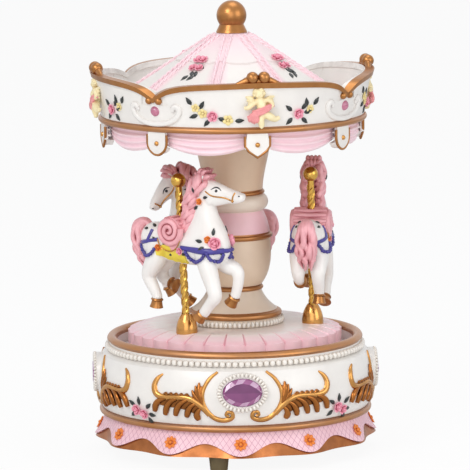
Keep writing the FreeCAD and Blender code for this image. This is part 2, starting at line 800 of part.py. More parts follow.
def bedplate():
    """Cast bedplate with the bearing posts and the block that carries the comb."""
    width = BEDPLATE_RADIUS - BEDPLATE_LEFT
    depth = BEDPLATE_BACK - BEDPLATE_FRONT
    corner = V(BEDPLATE_LEFT, BEDPLATE_FRONT, PLINTH_TOP)
    slab = Part.makeBox(width, depth, BEDPLATE_THICKNESS, corner)
    slab = slab.common(cylinder(BEDPLATE_RADIUS, BEDPLATE_THICKNESS, V(0, 0, PLINTH_TOP)))
    top = AXLE_Z + POST_HEAD_ROOM
    posts = [
        post(FIRST_POST, 0, top),
        post(SECOND_POST, 0, top),
        post(SECOND_POST, TRAIN_Y, top),
        post(THIRD_POST, TRAIN_Y, top),
    ]
    heel = comb_heel_front()
    block = Part.makeBox(
        CYLINDER_LENGTH,
        COMB_HEEL,
        AXLE_Z - COMB_THICKNESS / 2 - PLINTH_TOP,
        V(DRUM_START, heel - COMB_HEEL, PLINTH_TOP),
    )
    bores = [
        cylinder(ARBOR_RADIUS + FIT, BEDPLATE_THICKNESS, V(0, 0, PLINTH_TOP)),
        cylinder(AXLE_RADIUS + FIT, width, V(0, 0, AXLE_Z), V(1, 0, 0)),
        cylinder(AXLE_RADIUS + FIT, width, V(0, TRAIN_Y, AXLE_Z), V(1, 0, 0)),
        cylinder(
            WORM_SHAFT_RADIUS + FIT, BEDPLATE_THICKNESS, V(WORM_X, WORM_Y, PLINTH_TOP)
        ),
    ]
    for x, y in BEDPLATE_SCREW_PLACES:
        bores.append(
            cylinder(SCREW_RADIUS + FIT, BEDPLATE_THICKNESS, V(x, y, PLINTH_TOP))
        )
    for place in comb_screw_places():
        bores.append(cylinder(SCREW_RADIUS + FIT, SCREW_BITE, place - UP * SCREW_BITE))
    return fused([slab, block] + posts).cut(bores)


def bedplate_screws():
    """Screws that hold the movement to the bottom plate."""
    length = BEDPLATE_THICKNESS + SCREW_BITE
    return Part.Compound(
        [screw(V(x, y, BEDPLATE_TOP), length, True) for x, y in BEDPLATE_SCREW_PLACES]
    )


def comb_tip():
    """Y of the tips of the comb's teeth."""
    return -(CYLINDER_RADIUS + PIN_HEIGHT + COMB_TIP_GAP)


def comb_heel_front():
    """Y where the comb's teeth leave its heel."""
    return comb_tip() - COMB_TOOTH_LENGTH


def comb_screw_places():
    """Middle of each comb screw, on top of the block that carries the comb."""
    z = AXLE_Z - COMB_THICKNESS / 2
    y = comb_heel_front() - COMB_HEEL / 2
    inset = SCREW_HEAD_RADIUS
    return [
        V(DRUM_START + inset, y, z),
        V(DRUM_START + CYLINDER_LENGTH - inset, y, z),
    ]


def comb():
    """Steel comb with one tooth for each note."""
    bottom = AXLE_Z - COMB_THICKNESS / 2
    tip = comb_tip()
    root = comb_heel_front()
    pitch = CYLINDER_LENGTH / NOTE_COUNT
    tooth = pitch * COMB_TOOTH_SHARE
    steps = [V(DRUM_START, root - COMB_HEEL, bottom)]
    for i in range(NOTE_COUNT):
        start = DRUM_START + i * pitch + (pitch - tooth) / 2
        steps += [
            V(start, root, bottom),
            V(start, tip, bottom),
            V(start + tooth, tip, bottom),
            V(start + tooth, root, bottom),
        ]
    steps.append(V(DRUM_START + CYLINDER_LENGTH, root, bottom))
    steps.append(V(DRUM_START + CYLINDER_LENGTH, root - COMB_HEEL, bottom))
    steps.insert(1, V(DRUM_START, root, bottom))
    body = Part.Face(Part.makePolygon(steps + steps[:1])).extrude(UP * COMB_THICKNESS)
    holes = [
        cylinder(SCREW_RADIUS + FIT, COMB_THICKNESS, place)
        for place in comb_screw_places()
    ]
    return body.cut(holes)


def comb_screws():
    """Screws that clamp the comb."""
    lift = UP * COMB_THICKNESS
    length = COMB_THICKNESS + SCREW_BITE
    return Part.Compound(
        [screw(place + lift, length, True) for place in comb_screw_places()]
    )


def music_cylinder():
    """Cylinder with its pins and axle."""
    axis = V(1, 0, 0)
    start = PINION_START
    end = SECOND_POST + POST_THICKNESS
    axle = cylinder(AXLE_RADIUS, end - start, V(start, 0, AXLE_Z), axis)
    body = cylinder(CYLINDER_RADIUS, CYLINDER_LENGTH, V(DRUM_START, 0, AXLE_Z), axis)
    pitch = CYLINDER_LENGTH / NOTE_COUNT
    pins = []
    for note in range(NOTE_COUNT):
        x = DRUM_START + (note + 0.5) * pitch
        for k in range(PINS_PER_NOTE):
            turn = math.radians(15 + 137.5 * note + 360.0 * k / PINS_PER_NOTE)
            out = V(0, math.cos(turn), math.sin(turn))
            foot_place = V(x, 0, AXLE_Z) + out * (CYLINDER_RADIUS - PIN_HEIGHT)
            pins.append(cylinder(PIN_RADIUS, 2 * PIN_HEIGHT, foot_place, out))
    return fused([axle, body] + pins)


def bored(wheel, x, y):
    """A gear put at its place, with a bore for its axle."""
    wheel.translate(V(x, y, AXLE_Z))
    box = wheel.BoundBox
    return wheel.cut(
        cylinder(AXLE_RADIUS + FIT, box.XLength, V(x, y, AXLE_Z), V(1, 0, 0))
    )


def cylinder_pinion():
    """Pinion on the cylinder's axle, in mesh with the crown wheel below it."""
    module = 2 * PINION_RADIUS / PINION_TEETH
    return bored(gear(PINION_TEETH, module, CROWN_FACE, -90.0), PINION_START, 0)


def cylinder_wheel():
    """Wheel at the far end of the cylinder."""
    return bored(gear(WHEEL_TEETH, TRAIN_MODULE, GEAR_WIDTH), WHEEL_START, 0)


def train_axle():
    """Axle of the second wheel."""
    end = THIRD_POST + POST_THICKNESS
    return cylinder(
        AXLE_RADIUS, end - WHEEL_START, V(WHEEL_START, TRAIN_Y, AXLE_Z), V(1, 0, 0)
    )


def train_pinion():
    """Pinion driven by the cylinder's wheel."""
    phase = 180.0 + 180.0 / TRAIN_PINION_TEETH
    wheel = gear(TRAIN_PINION_TEETH, TRAIN_MODULE, GEAR_WIDTH, phase)
    return bored(wheel, WHEEL_START, TRAIN_Y)


def worm_wheel():
    """Wheel that drives the governor's worm."""
    wheel = gear(WORM_WHEEL_TEETH, TRAIN_MODULE, GEAR_WIDTH, 180.0)
    return bored(wheel, WORM_WHEEL_START, TRAIN_Y)


def governor_worm():
    """Upright worm and its shaft, from the bedplate to the bridge."""
    lead = math.pi * TRAIN_MODULE
    bottom = AXLE_Z - WORM_LENGTH / 2
    core = cylinder(WORM_CORE_RADIUS, WORM_LENGTH, V(0, 0, bottom))
    shaft = cylinder(
        WORM_SHAFT_RADIUS,
        BRIDGE_BOTTOM + BRIDGE_THICKNESS - PLINTH_TOP,
        V(0, 0, PLINTH_TOP),
    )
    turns = math.floor(WORM_LENGTH / lead) - 1
    height = turns * lead
    start = AXLE_Z - height / 2
    helix = Part.makeHelix(lead, height, WORM_PITCH_RADIUS)
    helix.translate(V(0, 0, start))
    inner = WORM_CORE_RADIUS - FIT
    profile = Part.makePolygon(
        [
            V(inner, 0, start - THREAD_ROOT_WIDTH / 2),
            V(WORM_TIP_RADIUS, 0, start - THREAD_TIP_WIDTH / 2),
            V(WORM_TIP_RADIUS, 0, start + THREAD_TIP_WIDTH / 2),
            V(inner, 0, start + THREAD_ROOT_WIDTH / 2),
            V(inner, 0, start - THREAD_ROOT_WIDTH / 2),
        ]
    )
    thread = Part.Wire(helix.Edges).makePipeShell([profile], True, True)
    worm = fused([core, shaft, thread])
    worm.rotate(ORIGIN, UP, 270.0)
    worm.translate(V(WORM_X, WORM_Y, 0))
    return worm


def governor_fan():
    """Two-bladed air brake on the worm's shaft."""
    blade = Part.makeBox(
        2 * FAN_RADIUS,
        FAN_THICKNESS,
        FAN_HEIGHT,
        V(-FAN_RADIUS, -FAN_THICKNESS / 2, FAN_BOTTOM),
    )
    hub = cylinder(2 * WORM_SHAFT_RADIUS, FAN_HEIGHT, V(0, 0, FAN_BOTTOM))
    bore = cylinder(WORM_SHAFT_RADIUS + FIT, FAN_HEIGHT, V(0, 0, FAN_BOTTOM))
    fan = fused([blade, hub]).cut(bore)
    fan.translate(V(WORM_X, WORM_Y, 0))
    return fan


def governor_bridge():
    """Bracket that carries the top of the worm's shaft."""
    start = WORM_X + FAN_RADIUS + AXIAL_GAP
    width = POST_WIDTH
    y = WORM_Y - width / 2
    foot_height = BRIDGE_BOTTOM + BRIDGE_THICKNESS - BEDPLATE_TOP
    upright = Part.makeBox(BRIDGE_POST_WIDTH, width, foot_height, V(start, y, BEDPLATE_TOP))
    reach = start + BRIDGE_POST_WIDTH - (WORM_X - width / 2)
    arm = Part.makeBox(
        reach, width, BRIDGE_THICKNESS, V(WORM_X - width / 2, y, BRIDGE_BOTTOM)
    )
    bore = cylinder(
        WORM_SHAFT_RADIUS + FIT, BRIDGE_THICKNESS, V(WORM_X, WORM_Y, BRIDGE_BOTTOM)
    )
    return fused([upright, arm]).cut(bore)


def spring_barrel():
    """Mainspring barrel on its crown wheel, whose teeth point up."""
    outer = CROWN_PITCH_RADIUS + CROWN_FACE / 2
    bore = ARBOR_RADIUS + FIT
    body = lathe(
        [
            (bore, CROWN_BOTTOM),
            (outer, CROWN_BOTTOM),
            (outer, CROWN_TOP),
            (BARREL_RADIUS, CROWN_TOP),
            (BARREL_RADIUS, BARREL_TOP),
            (BARREL_RADIUS - BARREL_WALL, BARREL_TOP),
            (BARREL_RADIUS - BARREL_WALL, CROWN_TOP),
            (bore, CROWN_TOP),
        ]
    )
    x = CROWN_PITCH_RADIUS - CROWN_FACE / 2
    corners = [
        V(x, -CROWN_TOOTH_ROOT / 2, CROWN_TOP),
        V(x, CROWN_TOOTH_ROOT / 2, CROWN_TOP),
        V(x, CROWN_TOOTH_TIP / 2, CROWN_TOP + CROWN_TOOTH_HEIGHT),
        V(x, -CROWN_TOOTH_TIP / 2, CROWN_TOP + CROWN_TOOTH_HEIGHT),
    ]
    tooth = Part.Face(Part.makePolygon(corners + corners[:1])).extrude(V(CROWN_FACE, 0, 0))
    half_pitch = 180.0 / CROWN_TEETH
    rim = cylinder(outer, 4 * CROWN_TOOTH_HEIGHT, V(0, 0, CROWN_BOTTOM))
    teeth = Part.Compound(around(tooth, CROWN_TEETH, half_pitch)).common(rim)
    return fused([body] + teeth.Solids)


def barrel_cover():
    """Cover pressed into the top of the barrel."""
    spigot = BARREL_RADIUS - BARREL_WALL - FIT
    return lathe(
        [
            (0, BARREL_TOP - BARREL_WALL),
            (spigot, BARREL_TOP - BARREL_WALL),
            (spigot, BARREL_TOP),
            (BARREL_RADIUS, BARREL_TOP),
            (BARREL_RADIUS, COVER_TOP),
            (0, COVER_TOP),
        ]
    )


def mainspring():
    """Flat spiral spring between the arbor and the barrel's wall."""
    bottom = CROWN_TOP + SEAT_GAP
    height = BARREL_HEIGHT - BARREL_WALL - 2 * SEAT_GAP
    first = ARBOR_RADIUS + SEAT_GAP
    last = BARREL_RADIUS - BARREL_WALL - SEAT_GAP - SPRING_THICKNESS
    steps = 12 * SPRING_TURNS
    inner, outer = [], []
    for i in range(steps + 1):
        radius = first + (last - first) * i / steps
        inner.append(polar(radius, 30.0 * i, bottom))
        outer.append(polar(radius + SPRING_THICKNESS, 30.0 * i, bottom))
    edges = []
    for side in (inner, outer):
        curve = Part.BSplineCurve()
        curve.interpolate(side)
        edges.append(curve.toShape())
    edges.append(Part.makeLine(inner[0], outer[0]))
    edges.append(Part.makeLine(inner[-1], outer[-1]))
    wire = Part.Wire(Part.__sortEdges__(edges))
    return Part.Face(wire).extrude(UP * height)


def drive_spindle():
    """Shaft from the barrel's cover up through the bush into the turntable."""
    return lathe(
        [
            (0, COVER_TOP),
            (SPINDLE_FLANGE_RADIUS, COVER_TOP),
            (SPINDLE_FLANGE_RADIUS, COVER_TOP + SPINDLE_FLANGE_HEIGHT),
            (SPINDLE_RADIUS, COVER_TOP + SPINDLE_FLANGE_HEIGHT),
            (SPINDLE_RADIUS, spindle_top()),
            (0, spindle_top()),
        ]
    )


def spindle_top():
    """Top of the spindle, in the turntable's bore below the column's spigot."""
    return TURNTABLE_TOP - COLUMN_SPIGOT_LENGTH - SEAT_GAP


def winding_arbor():
    """Arbor from the key up into the spring barrel."""
    bottom = KEY_FLOOR_GAP + KEY_HEIGHT / 2
    top = BARREL_TOP - BARREL_WALL - ARBOR_TOP_GAP
    return cylinder(ARBOR_RADIUS, top - bottom, V(0, 0, bottom))


def winding_key():
    """Butterfly key: two rounded wings with eyes on a bored boss."""
    bottom = KEY_FLOOR_GAP
    middle = bottom + KEY_HEIGHT / 2
    wing_radius = KEY_HEIGHT / 2
    reach = KEY_WIDTH / 2 - wing_radius
    parts = [cylinder(KEY_BOSS_RADIUS, KEY_HEIGHT, V(0, 0, bottom))]
    bores = [cylinder(ARBOR_RADIUS + FIT, KEY_HEIGHT, V(0, 0, middle))]
    back = V(0, KEY_THICKNESS / 2, 0)
    front = V(0, -1, 0)
    for side in (-1, 1):
        centre = V(side * reach, 0, middle)
        parts.append(cylinder(wing_radius, KEY_THICKNESS, centre + back, front))
        bores.append(cylinder(KEY_EYE_RADIUS, KEY_THICKNESS, centre + back, front))
    web = Part.makeBox(
        2 * reach,
        KEY_THICKNESS,
        KEY_HEIGHT * 0.6,
        V(-reach, -KEY_THICKNESS / 2, middle - KEY_HEIGHT * 0.3),
    )
    return fused(parts + [web]).cut(bores)


# Turntable and column


def scalloped_disc(tip_radius, depth, count, bottom, height, first):
    """Disc whose edge is a row of outward arcs."""
    half = 180.0 / count
    edges = []
    for i in range(count):
        middle = first + i * 360.0 / count
        edges.append(
            Part.Arc(
                polar(tip_radius - depth, middle - half, bottom),
                polar(tip_radius, middle, bottom),
                polar(tip_radius - depth, middle + half, bottom),
            ).toShape()
        )
    return Part.Face(Part.Wire(edges)).extrude(UP * height)


def turntable_surface(radius):
    """Height of the turntable's domed top at a radius."""
    share = (TURNTABLE_RADIUS - radius) / TURNTABLE_SPAN
    bulge = 4 * TURNTABLE_BULGE * share * (1 - share)
    return TURNTABLE_BOTTOM + TURNTABLE_EDGE + TURNTABLE_RISE * share + bulge


def pleat_cutter():
    """Groove between two pleats: a wedge that deepens towards the edge."""
    inner = TURNTABLE_FLAT_RADIUS + PLEAT_WIDTH
    outer = TURNTABLE_RADIUS + PLEAT_WIDTH
    wires = []
    for share in (0.0, 0.33, 0.67, 1.0):
        radius = inner + (outer - inner) * share
        surface = turntable_surface(radius)
        width = PLEAT_WIDTH * (0.4 + 0.6 * share)
        corners = [
            V(-width, -radius, surface + PLEAT_WIDTH),
            V(width, -radius, surface + PLEAT_WIDTH),
            V(0, -radius, surface - PLEAT_DEPTH * share),
        ]
        wires.append(Part.makePolygon(corners + corners[:1]))
    return loft(wires, ruled=True)


def pole_angles():
    """Angles of the horses' poles."""
    return HORSE_ANGLES


def leaned(shape):
    """A pole piece tipped back at its seat, against the horse's way."""
    tipped = shape.copy()
    tipped.rotate(UP * SEAT_Z, V(0, 1, 0), -POLE_LEAN)
    return tipped


def pole_bore(bottom, length):
    """Leaning hole for a pole, from a height on."""
    return leaned(cylinder(POLE_TIP_RADIUS + FIT, length, UP * bottom))


def turntable():
    """Pleated, scalloped dish with sockets for the spindle, the column and the poles."""
    bore = SPINDLE_RADIUS + FIT
    socket = COLUMN_SPIGOT_RADIUS + FIT
    socket_z = TURNTABLE_TOP - COLUMN_SPIGOT_LENGTH
    edge_z = TURNTABLE_BOTTOM + TURNTABLE_EDGE
    middle = (TURNTABLE_RADIUS + TURNTABLE_FLAT_RADIUS) / 2
    dish = lathe(
        [
            (bore, TURNTABLE_BOTTOM),
            (TURNTABLE_RADIUS, TURNTABLE_BOTTOM),
            (TURNTABLE_RADIUS, edge_z),
            (
                (middle, turntable_surface(middle)),
                (TURNTABLE_FLAT_RADIUS, TURNTABLE_TOP),
            ),
            (socket, TURNTABLE_TOP),
            (socket, socket_z),
            (bore, socket_z),
        ]
    )
    height = TURNTABLE_TOP - TURNTABLE_BOTTOM
    dish = dish.common(
        scalloped_disc(
            TURNTABLE_RADIUS, SCALLOP_DEPTH, PLEAT_COUNT, TURNTABLE_BOTTOM, height, 0.0
        )
    )
    cuts = around(pleat_cutter(), PLEAT_COUNT, 180.0 / PLEAT_COUNT)
    for angle in pole_angles():
        seat = polar(POLE_CIRCLE_RADIUS, angle, SEAT_Z)
        cuts.append(cylinder(POLE_BASE_RADIUS + FIT, height, seat))
        bore = pole_bore(SEAT_Z - POLE_SOCKET_DEPTH, 2 * POLE_SOCKET_DEPTH)
        cuts.append(on_pole(bore, angle))
    return dish.cut(cuts)


def ring_arc(neck_radius, ring, z):
    """Half-round ring of a turned column, from its foot to its top."""
    return ((neck_radius + ring, z + ring), (neck_radius, z + 2 * ring))


def centre_column():
    """Turned column: beaded foot, bell, cup, bulge, swell and flared stem."""
    z0 = TURNTABLE_TOP
    z1 = z0 + COLUMN_BEAD_HEIGHT
    z2 = z1 + 2 * COLUMN_FOOT_RING
    z3 = z2 + COLUMN_BELL_HEIGHT
    z4 = z3 + 2 * COLUMN_LOW_RING
    z5 = z4 + COLUMN_CUP_HEIGHT
    z6 = z5 + 2 * COLUMN_MID_RING
    z7 = z6 + COLUMN_BULGE_HEIGHT
    z8 = z7 + COLUMN_SWELL_HEIGHT
    z9 = z8 + 2 * COLUMN_TOP_RING
    bell_mid = (COLUMN_LOW_NECK_RADIUS * 2 + COLUMN_FOOT_RADIUS) / 3
    tenon_top = COLUMN_TOP + CEILING_THICKNESS
    return lathe(
        [
            (0, z0 - COLUMN_SPIGOT_LENGTH),
            (COLUMN_SPIGOT_RADIUS, z0 - COLUMN_SPIGOT_LENGTH),
            (COLUMN_SPIGOT_RADIUS, z0),
            (COLUMN_FOOT_RADIUS, z0),
            ((COLUMN_BEAD_RADIUS, (z0 + z1) / 2), (COLUMN_FOOT_RADIUS, z1)),
            ring_arc(COLUMN_FOOT_RADIUS, COLUMN_FOOT_RING, z1),
            [(bell_mid, (z2 + z3) / 2), (COLUMN_LOW_NECK_RADIUS, z3)],
            ring_arc(COLUMN_LOW_NECK_RADIUS, COLUMN_LOW_RING, z3),
            [
                (COLUMN_CUP_RADIUS * 0.93, z4 + COLUMN_CUP_HEIGHT * 0.3),
                (COLUMN_CUP_RADIUS, z4 + COLUMN_CUP_HEIGHT * 0.75),
                (COLUMN_CUP_RADIUS * 0.98, z5),
            ],
            ring_arc(COLUMN_CUP_RADIUS * 0.98, COLUMN_MID_RING, z5),
            [
                (COLUMN_CUP_RADIUS * 0.93, z6 + COLUMN_BULGE_HEIGHT * 0.4),
                (COLUMN_UP_NECK_RADIUS, z7),
            ],
            ((COLUMN_SWELL_RADIUS, (z7 + z8) / 2), (COLUMN_UP_NECK_RADIUS, z8)),
            ring_arc(COLUMN_UP_NECK_RADIUS, COLUMN_TOP_RING, z8),
            [
                (COLUMN_STEM_NECK_RADIUS, z9 + COLUMN_STEM_HEIGHT * 0.15),
                (COLUMN_TOP_RADIUS * 0.97, z9 + COLUMN_STEM_HEIGHT * 0.45),
                (COLUMN_TOP_RADIUS, COLUMN_TOP),
            ],
            (COLUMN_TENON_RADIUS, COLUMN_TOP),
            (COLUMN_TENON_RADIUS, tenon_top),
            (0, tenon_top),
        ]
    )


# Horses and poles


def pole():
    """Twisted pole: a round bar with three raised strands that wind up it."""
    bottom = SEAT_Z - POLE_SOCKET_DEPTH + SEAT_GAP
    top = SEAT_Z + POLE_ABOVE_SEAT
    core = cylinder(POLE_CORE_RADIUS, top - bottom, UP * bottom)
    height = top - bottom - 2 * POLE_STRAND_FOOT
    helix = Part.makeHelix(POLE_LEAD, height, POLE_CORE_RADIUS)
    inner = POLE_CORE_RADIUS - POLE_STRAND_RISE
    profile = Part.makePolygon(
        [
            V(inner, 0, -POLE_STRAND_FOOT / 2),
            V(POLE_TIP_RADIUS, 0, -POLE_STRAND_CREST / 2),
            V(POLE_TIP_RADIUS, 0, POLE_STRAND_CREST / 2),
            V(inner, 0, POLE_STRAND_FOOT / 2),
            V(inner, 0, -POLE_STRAND_FOOT / 2),
        ]
    )
    strand = Part.Wire(helix.Edges).makePipeShell([profile], True, True)
    strand.translate(UP * (bottom + POLE_STRAND_FOOT))
    return leaned(fused([core] + around(strand, POLE_STRANDS)))


def pole_ball():
    """Ball on top of a pole."""
    centre = V(0, 0, POLE_BALL_Z)
    bore_top = SEAT_Z + POLE_ABOVE_SEAT + FIT
    bore = cylinder(
        POLE_TIP_RADIUS + FIT,
        2 * POLE_BALL_RADIUS,
        V(0, 0, bore_top - 2 * POLE_BALL_RADIUS),
    )
    return leaned(Part.makeSphere(POLE_BALL_RADIUS, centre).cut(bore))


def pole_base():
    """Bell-shaped foot round a pole."""
    top = SEAT_Z + POLE_BASE_HEIGHT
    bell = lathe(
        [
            (0.0, SEAT_Z),
            (POLE_BASE_RADIUS, SEAT_Z),
            (POLE_BASE_RADIUS, SEAT_Z + POLE_BASE_LIP),
            [
                (POLE_BASE_RADIUS * 0.92, SEAT_Z + POLE_BASE_HEIGHT * 0.5),
                (POLE_BASE_TOP_RADIUS, top),
            ],
            (0.0, top),
        ]
    )
    return bell.cut(pole_bore(SEAT_Z - POLE_SOCKET_DEPTH, 2 * POLE_BASE_HEIGHT))


def spine_loft(rows):
    """Solid through oval sections given by a top, a bottom and a half width."""
    wires = []
    for top, bottom, half_width in rows:
        high = V(top[0], 0, top[1] + HORSE_AXIS_Z)
        low = V(bottom[0], 0, bottom[1] + HORSE_AXIS_Z)
        along = high - low
        half = along.Length / 2
        wires.append(
            oval((high + low) * 0.5, V(0, 1, 0), along.normalize(), half_width, half)
        )
    return loft(wires)


def horse(neck, head, mane, ear_place):
    """Carousel horse at a gallop, its pole through the withers, facing +X."""
    side = V(0, 1, 0)
    pieces = [spine_loft(HORSE_BARREL + neck), spine_loft(head)]
    for rows in (
        HORSE_OUTER_FORELEG,
        HORSE_INNER_FORELEG,
        HORSE_OUTER_HIND_LEG,
        HORSE_INNER_HIND_LEG,
        HORSE_TAIL,
        mane,
    ):
        pieces.append(limb([(V(x, y, z + HORSE_AXIS_Z), r) for x, y, z, r in rows]))
    x, z = ear_place
    for way in (-1, 1):
        base = V(x, way * HORSE_EAR_SIDE, z + HORSE_AXIS_Z)
        pieces.append(Part.makeCone(HORSE_EAR_RADIUS, 0.2, HORSE_EAR_LENGTH, base))
    x, z = SADDLE_PLACE
    middle = V(x, -SADDLE_WIDTH / 2, z + HORSE_AXIS_Z)
    saddle = cylinder(SADDLE_RADIUS, SADDLE_WIDTH, middle, side)
    rims = [edge for edge in saddle.Edges if edge.Closed]
    pieces.append(saddle.makeFillet(SADDLE_ROUND, rims))
    return fused(pieces)


def horses():
    """The horses at their places, the last one with a bowed head."""
    raised = horse(HORSE_NECK, HORSE_HEAD, HORSE_MANE, HORSE_EAR_PLACE)
    bowed = horse(HORSE_BOWED_NECK, HORSE_BOWED_HEAD, HORSE_BOWED_MANE, HORSE_BOWED_EAR_PLACE)
    placed = []
    for shape, angle, drop in zip((raised, raised, bowed), pole_angles(), HORSE_DROPS):
        rider = shape.copy()
        rider.translate(UP * -drop)
        placed.append(on_pole(rider.cut(pole_bore(SEAT_Z, POLE_ABOVE_SEAT)), angle))
    return placed


def on_pole(shape, angle):
    """A piece modelled round its pole, put at its place on the turntable."""
    placed = turned(shape, angle)
    placed.translate(polar(POLE_CIRCLE_RADIUS, angle))
    return placed


# Canopy


def cornice_radius(z):
    """Outer radius of the cornice wall at a height."""
    share = (z - COLUMN_TOP) / CORNICE_HEIGHT
    middle = CORNICE_MID_RADIUS - (CORNICE_FOOT_RADIUS + CORNICE_TOP_RADIUS) / 2
    straight = CORNICE_FOOT_RADIUS + share * (CORNICE_TOP_RADIUS - CORNICE_FOOT_RADIUS)
    return straight + 4 * middle * share * (1 - share)


def panel_half_width():
    """Half the straight width of a cornice panel."""
    return CORNICE_TOP_RADIUS * math.sin(math.radians(180.0 / PANEL_COUNT))


def panel_points():
    """Top line of one panel from its left notch to its right one, as (across, z)."""
    half = panel_half_width()
    right = [(share * half, CORNICE_TOP - drop) for share, drop in PANEL_TOP_LINE]
    left = [(-x, z) for x, z in reversed(right)]
    return left + [(0.0, CORNICE_TOP)] + right


def panel_band(bottom, top):
    """Radial prism over the front panel between two lines parallel to its top line."""
    line = panel_points()
    overlap = CORNICE_WALL
    first = (line[0][0] - overlap, line[0][1])
    last = (line[-1][0] + overlap, line[-1][1])
    edges = []
    for lift in (bottom, top):
        points = [V(x, -CORNICE_FOOT_RADIUS / 2, z + lift) for x, z in [first] + line + [last]]
        curve = Part.BSplineCurve()
        curve.interpolate(points)
        edges.append(curve.toShape())
    for x, z in (first, last):
        foot_point = V(x, -CORNICE_FOOT_RADIUS / 2, z)
        edges.append(Part.makeLine(foot_point + UP * bottom, foot_point + UP * top))
    wire = Part.Wire(Part.__sortEdges__(edges))
    return Part.Face(wire).extrude(V(0, -CORNICE_TOP_RADIUS, 0))


def panel_sector():
    """Wedge that holds the front panel only."""
    half = 180.0 / PANEL_COUNT
    reach = 2 * CORNICE_TOP_RADIUS
    corners = [V(0, 0, COLUMN_TOP), polar(reach, -half, COLUMN_TOP), polar(reach, half, COLUMN_TOP)]
    face = Part.Face(Part.makePolygon(corners + corners[:1]))
    return face.extrude(UP * 2 * CORNICE_HEIGHT)


def cornice_shell(grow):
    """Flared wall of the cornice, thicker by grow on both faces."""
    top = CORNICE_TOP + CORNICE_WALL
    rows = [COLUMN_TOP + (top - COLUMN_TOP) * k / 4 for k in range(5)]
    outer = [(cornice_radius(z) + grow, z) for z in rows]
    inner = [(cornice_radius(z) - CORNICE_WALL - grow, z) for z in reversed(rows)]
    return lathe([outer[0], outer[1:], inner[0], inner[1:]])


def cornice():
    """Crown of four panels on a ceiling disc, with a half-round ring at its foot."""
    wall = cornice_shell(0.0)
    lift = 2 * CORNICE_HEIGHT
    cutter = panel_band(-MOULDING_HEIGHT, lift)
    for tool in around(cutter, PANEL_COUNT, PANEL_FIRST_ANGLE):
        wall = wall.cut(tool)
    socket = COLUMN_TENON_RADIUS + FIT
    ring_z = COLUMN_TOP + CORNICE_RING_RADIUS
    reach = CORNICE_FOOT_RADIUS - CORNICE_WALL / 2
    disc = lathe(
        [
            (socket, COLUMN_TOP),
            (CORNICE_FOOT_RADIUS, COLUMN_TOP),
            (
                (CORNICE_FOOT_RADIUS + CORNICE_RING_RADIUS, ring_z),
                (CORNICE_FOOT_RADIUS, COLUMN_TOP + 2 * CORNICE_RING_RADIUS),
            ),
            (reach, COLUMN_TOP + 2 * CORNICE_RING_RADIUS),
            (reach, CEILING_TOP),
            (socket, CEILING_TOP),
        ]
    )
    return fused([wall, disc])


def moulding():
    """Gilt moulding along the top of the front panel."""
    band = panel_band(-MOULDING_HEIGHT, 0.0).common(panel_sector())
    return cornice_shell(MOULDING_OVERHANG).common(band)


def crown_balls(roll):
    """Twin balls at the middle of each panel and a scroll end on each side of a notch."""
    reach = CORNICE_TOP_RADIUS - CORNICE_WALL / 2
    balls = [
        Part.makeSphere(HEART_RADIUS, V(side * HEART_SPREAD, -reach, HEART_Z))
        for side in (-1, 1)
    ]
    pieces = [fused(balls)]
    notch_z = panel_points()[0][1] - MOULDING_HEIGHT + NOTCH_BALL_RADIUS + FIT
    for side in (-1, 1):
        angle = side * (180.0 / PANEL_COUNT - NOTCH_BALL_ANGLE)
        place = polar(cornice_radius(notch_z), angle, notch_z)
        pieces.append(Part.makeSphere(NOTCH_BALL_RADIUS, place))
    made = []
    for piece in pieces:
        rest = piece.cut(roll)
        main = max(rest.Solids, key=lambda solid: solid.Volume)
        made += around(main, PANEL_COUNT, PANEL_FIRST_ANGLE)
    return Part.Compound(made)


def cornice_gem(crown):
    """Round gem below a notch, on the cornice wall."""
    z = COLUMN_TOP + CORNICE_GEM_HEIGHT
    base = V(0, -cornice_radius(z), z)
    boss = cylinder(CORNICE_GEM_RADIUS, CORNICE_WALL / 2, base + V(0, CORNICE_WALL / 2, 0), V(0, -1, 0))
    cap = dome(CORNICE_GEM_RADIUS, CORNICE_GEM_RISE, base, V(0, -1, 0))
    whole = turned(fused([boss, cap]), PANEL_FIRST_ANGLE + 180.0 / PANEL_COUNT)
    return whole.cut(crown)


def swag_band(bottom_sag, top_sag, bottom, top):
    """Radial prism under one swag between two sagging arcs, as drops below the ceiling."""
    half = VALANCE_RADIUS * math.sin(math.radians(180.0 / SWAG_COUNT))

    def place(x, z):
        return V(x, -VALANCE_RADIUS / 2, COLUMN_TOP - z)

    wire = outline_wire(
        [
            (-half, bottom - bottom_sag),
            ((0.0, bottom), (half, bottom - bottom_sag)),
            (half, top - top_sag),
            ((0.0, top), (-half, top - top_sag)),
        ],
        place,
    )
    return Part.Face(wire).extrude(V(0, -VALANCE_RADIUS, 0))


def valance_ring(inner, outer):
    """Plain ring below the ceiling, deep enough for the swags."""
    bottom = COLUMN_TOP - VALANCE_DROP - FOLD_RISE
    return lathe([(inner, bottom), (outer, bottom), (outer, COLUMN_TOP), (inner, COLUMN_TOP)])


def valance():
    """Drapery below the cornice: a scalloped wall with the folds of eight swags."""
    first = PANEL_FIRST_ANGLE + 180.0 / SWAG_COUNT
    inner = VALANCE_RADIUS - VALANCE_WALL
    below = swag_band(SWAG_SAG, SWAG_SAG, 2 * VALANCE_DROP, VALANCE_DROP)
    wall = valance_ring(inner, VALANCE_RADIUS)
    wall = wall.cut(around(below, SWAG_COUNT, first))
    ring = valance_ring(VALANCE_RADIUS - FOLD_RISE / 2, VALANCE_RADIUS + FOLD_RISE)
    pitch = VALANCE_DROP / FOLD_COUNT
    folds = []
    for i in range(FOLD_COUNT):
        low = VALANCE_DROP - i * pitch - FOLD_RISE / 4
        sag = SWAG_SAG * low / VALANCE_DROP
        band = swag_band(sag, sag, low, low - pitch * FOLD_SHARE)
        folds += around(band.common(ring), SWAG_COUNT, first)
    return fused([wall] + folds)


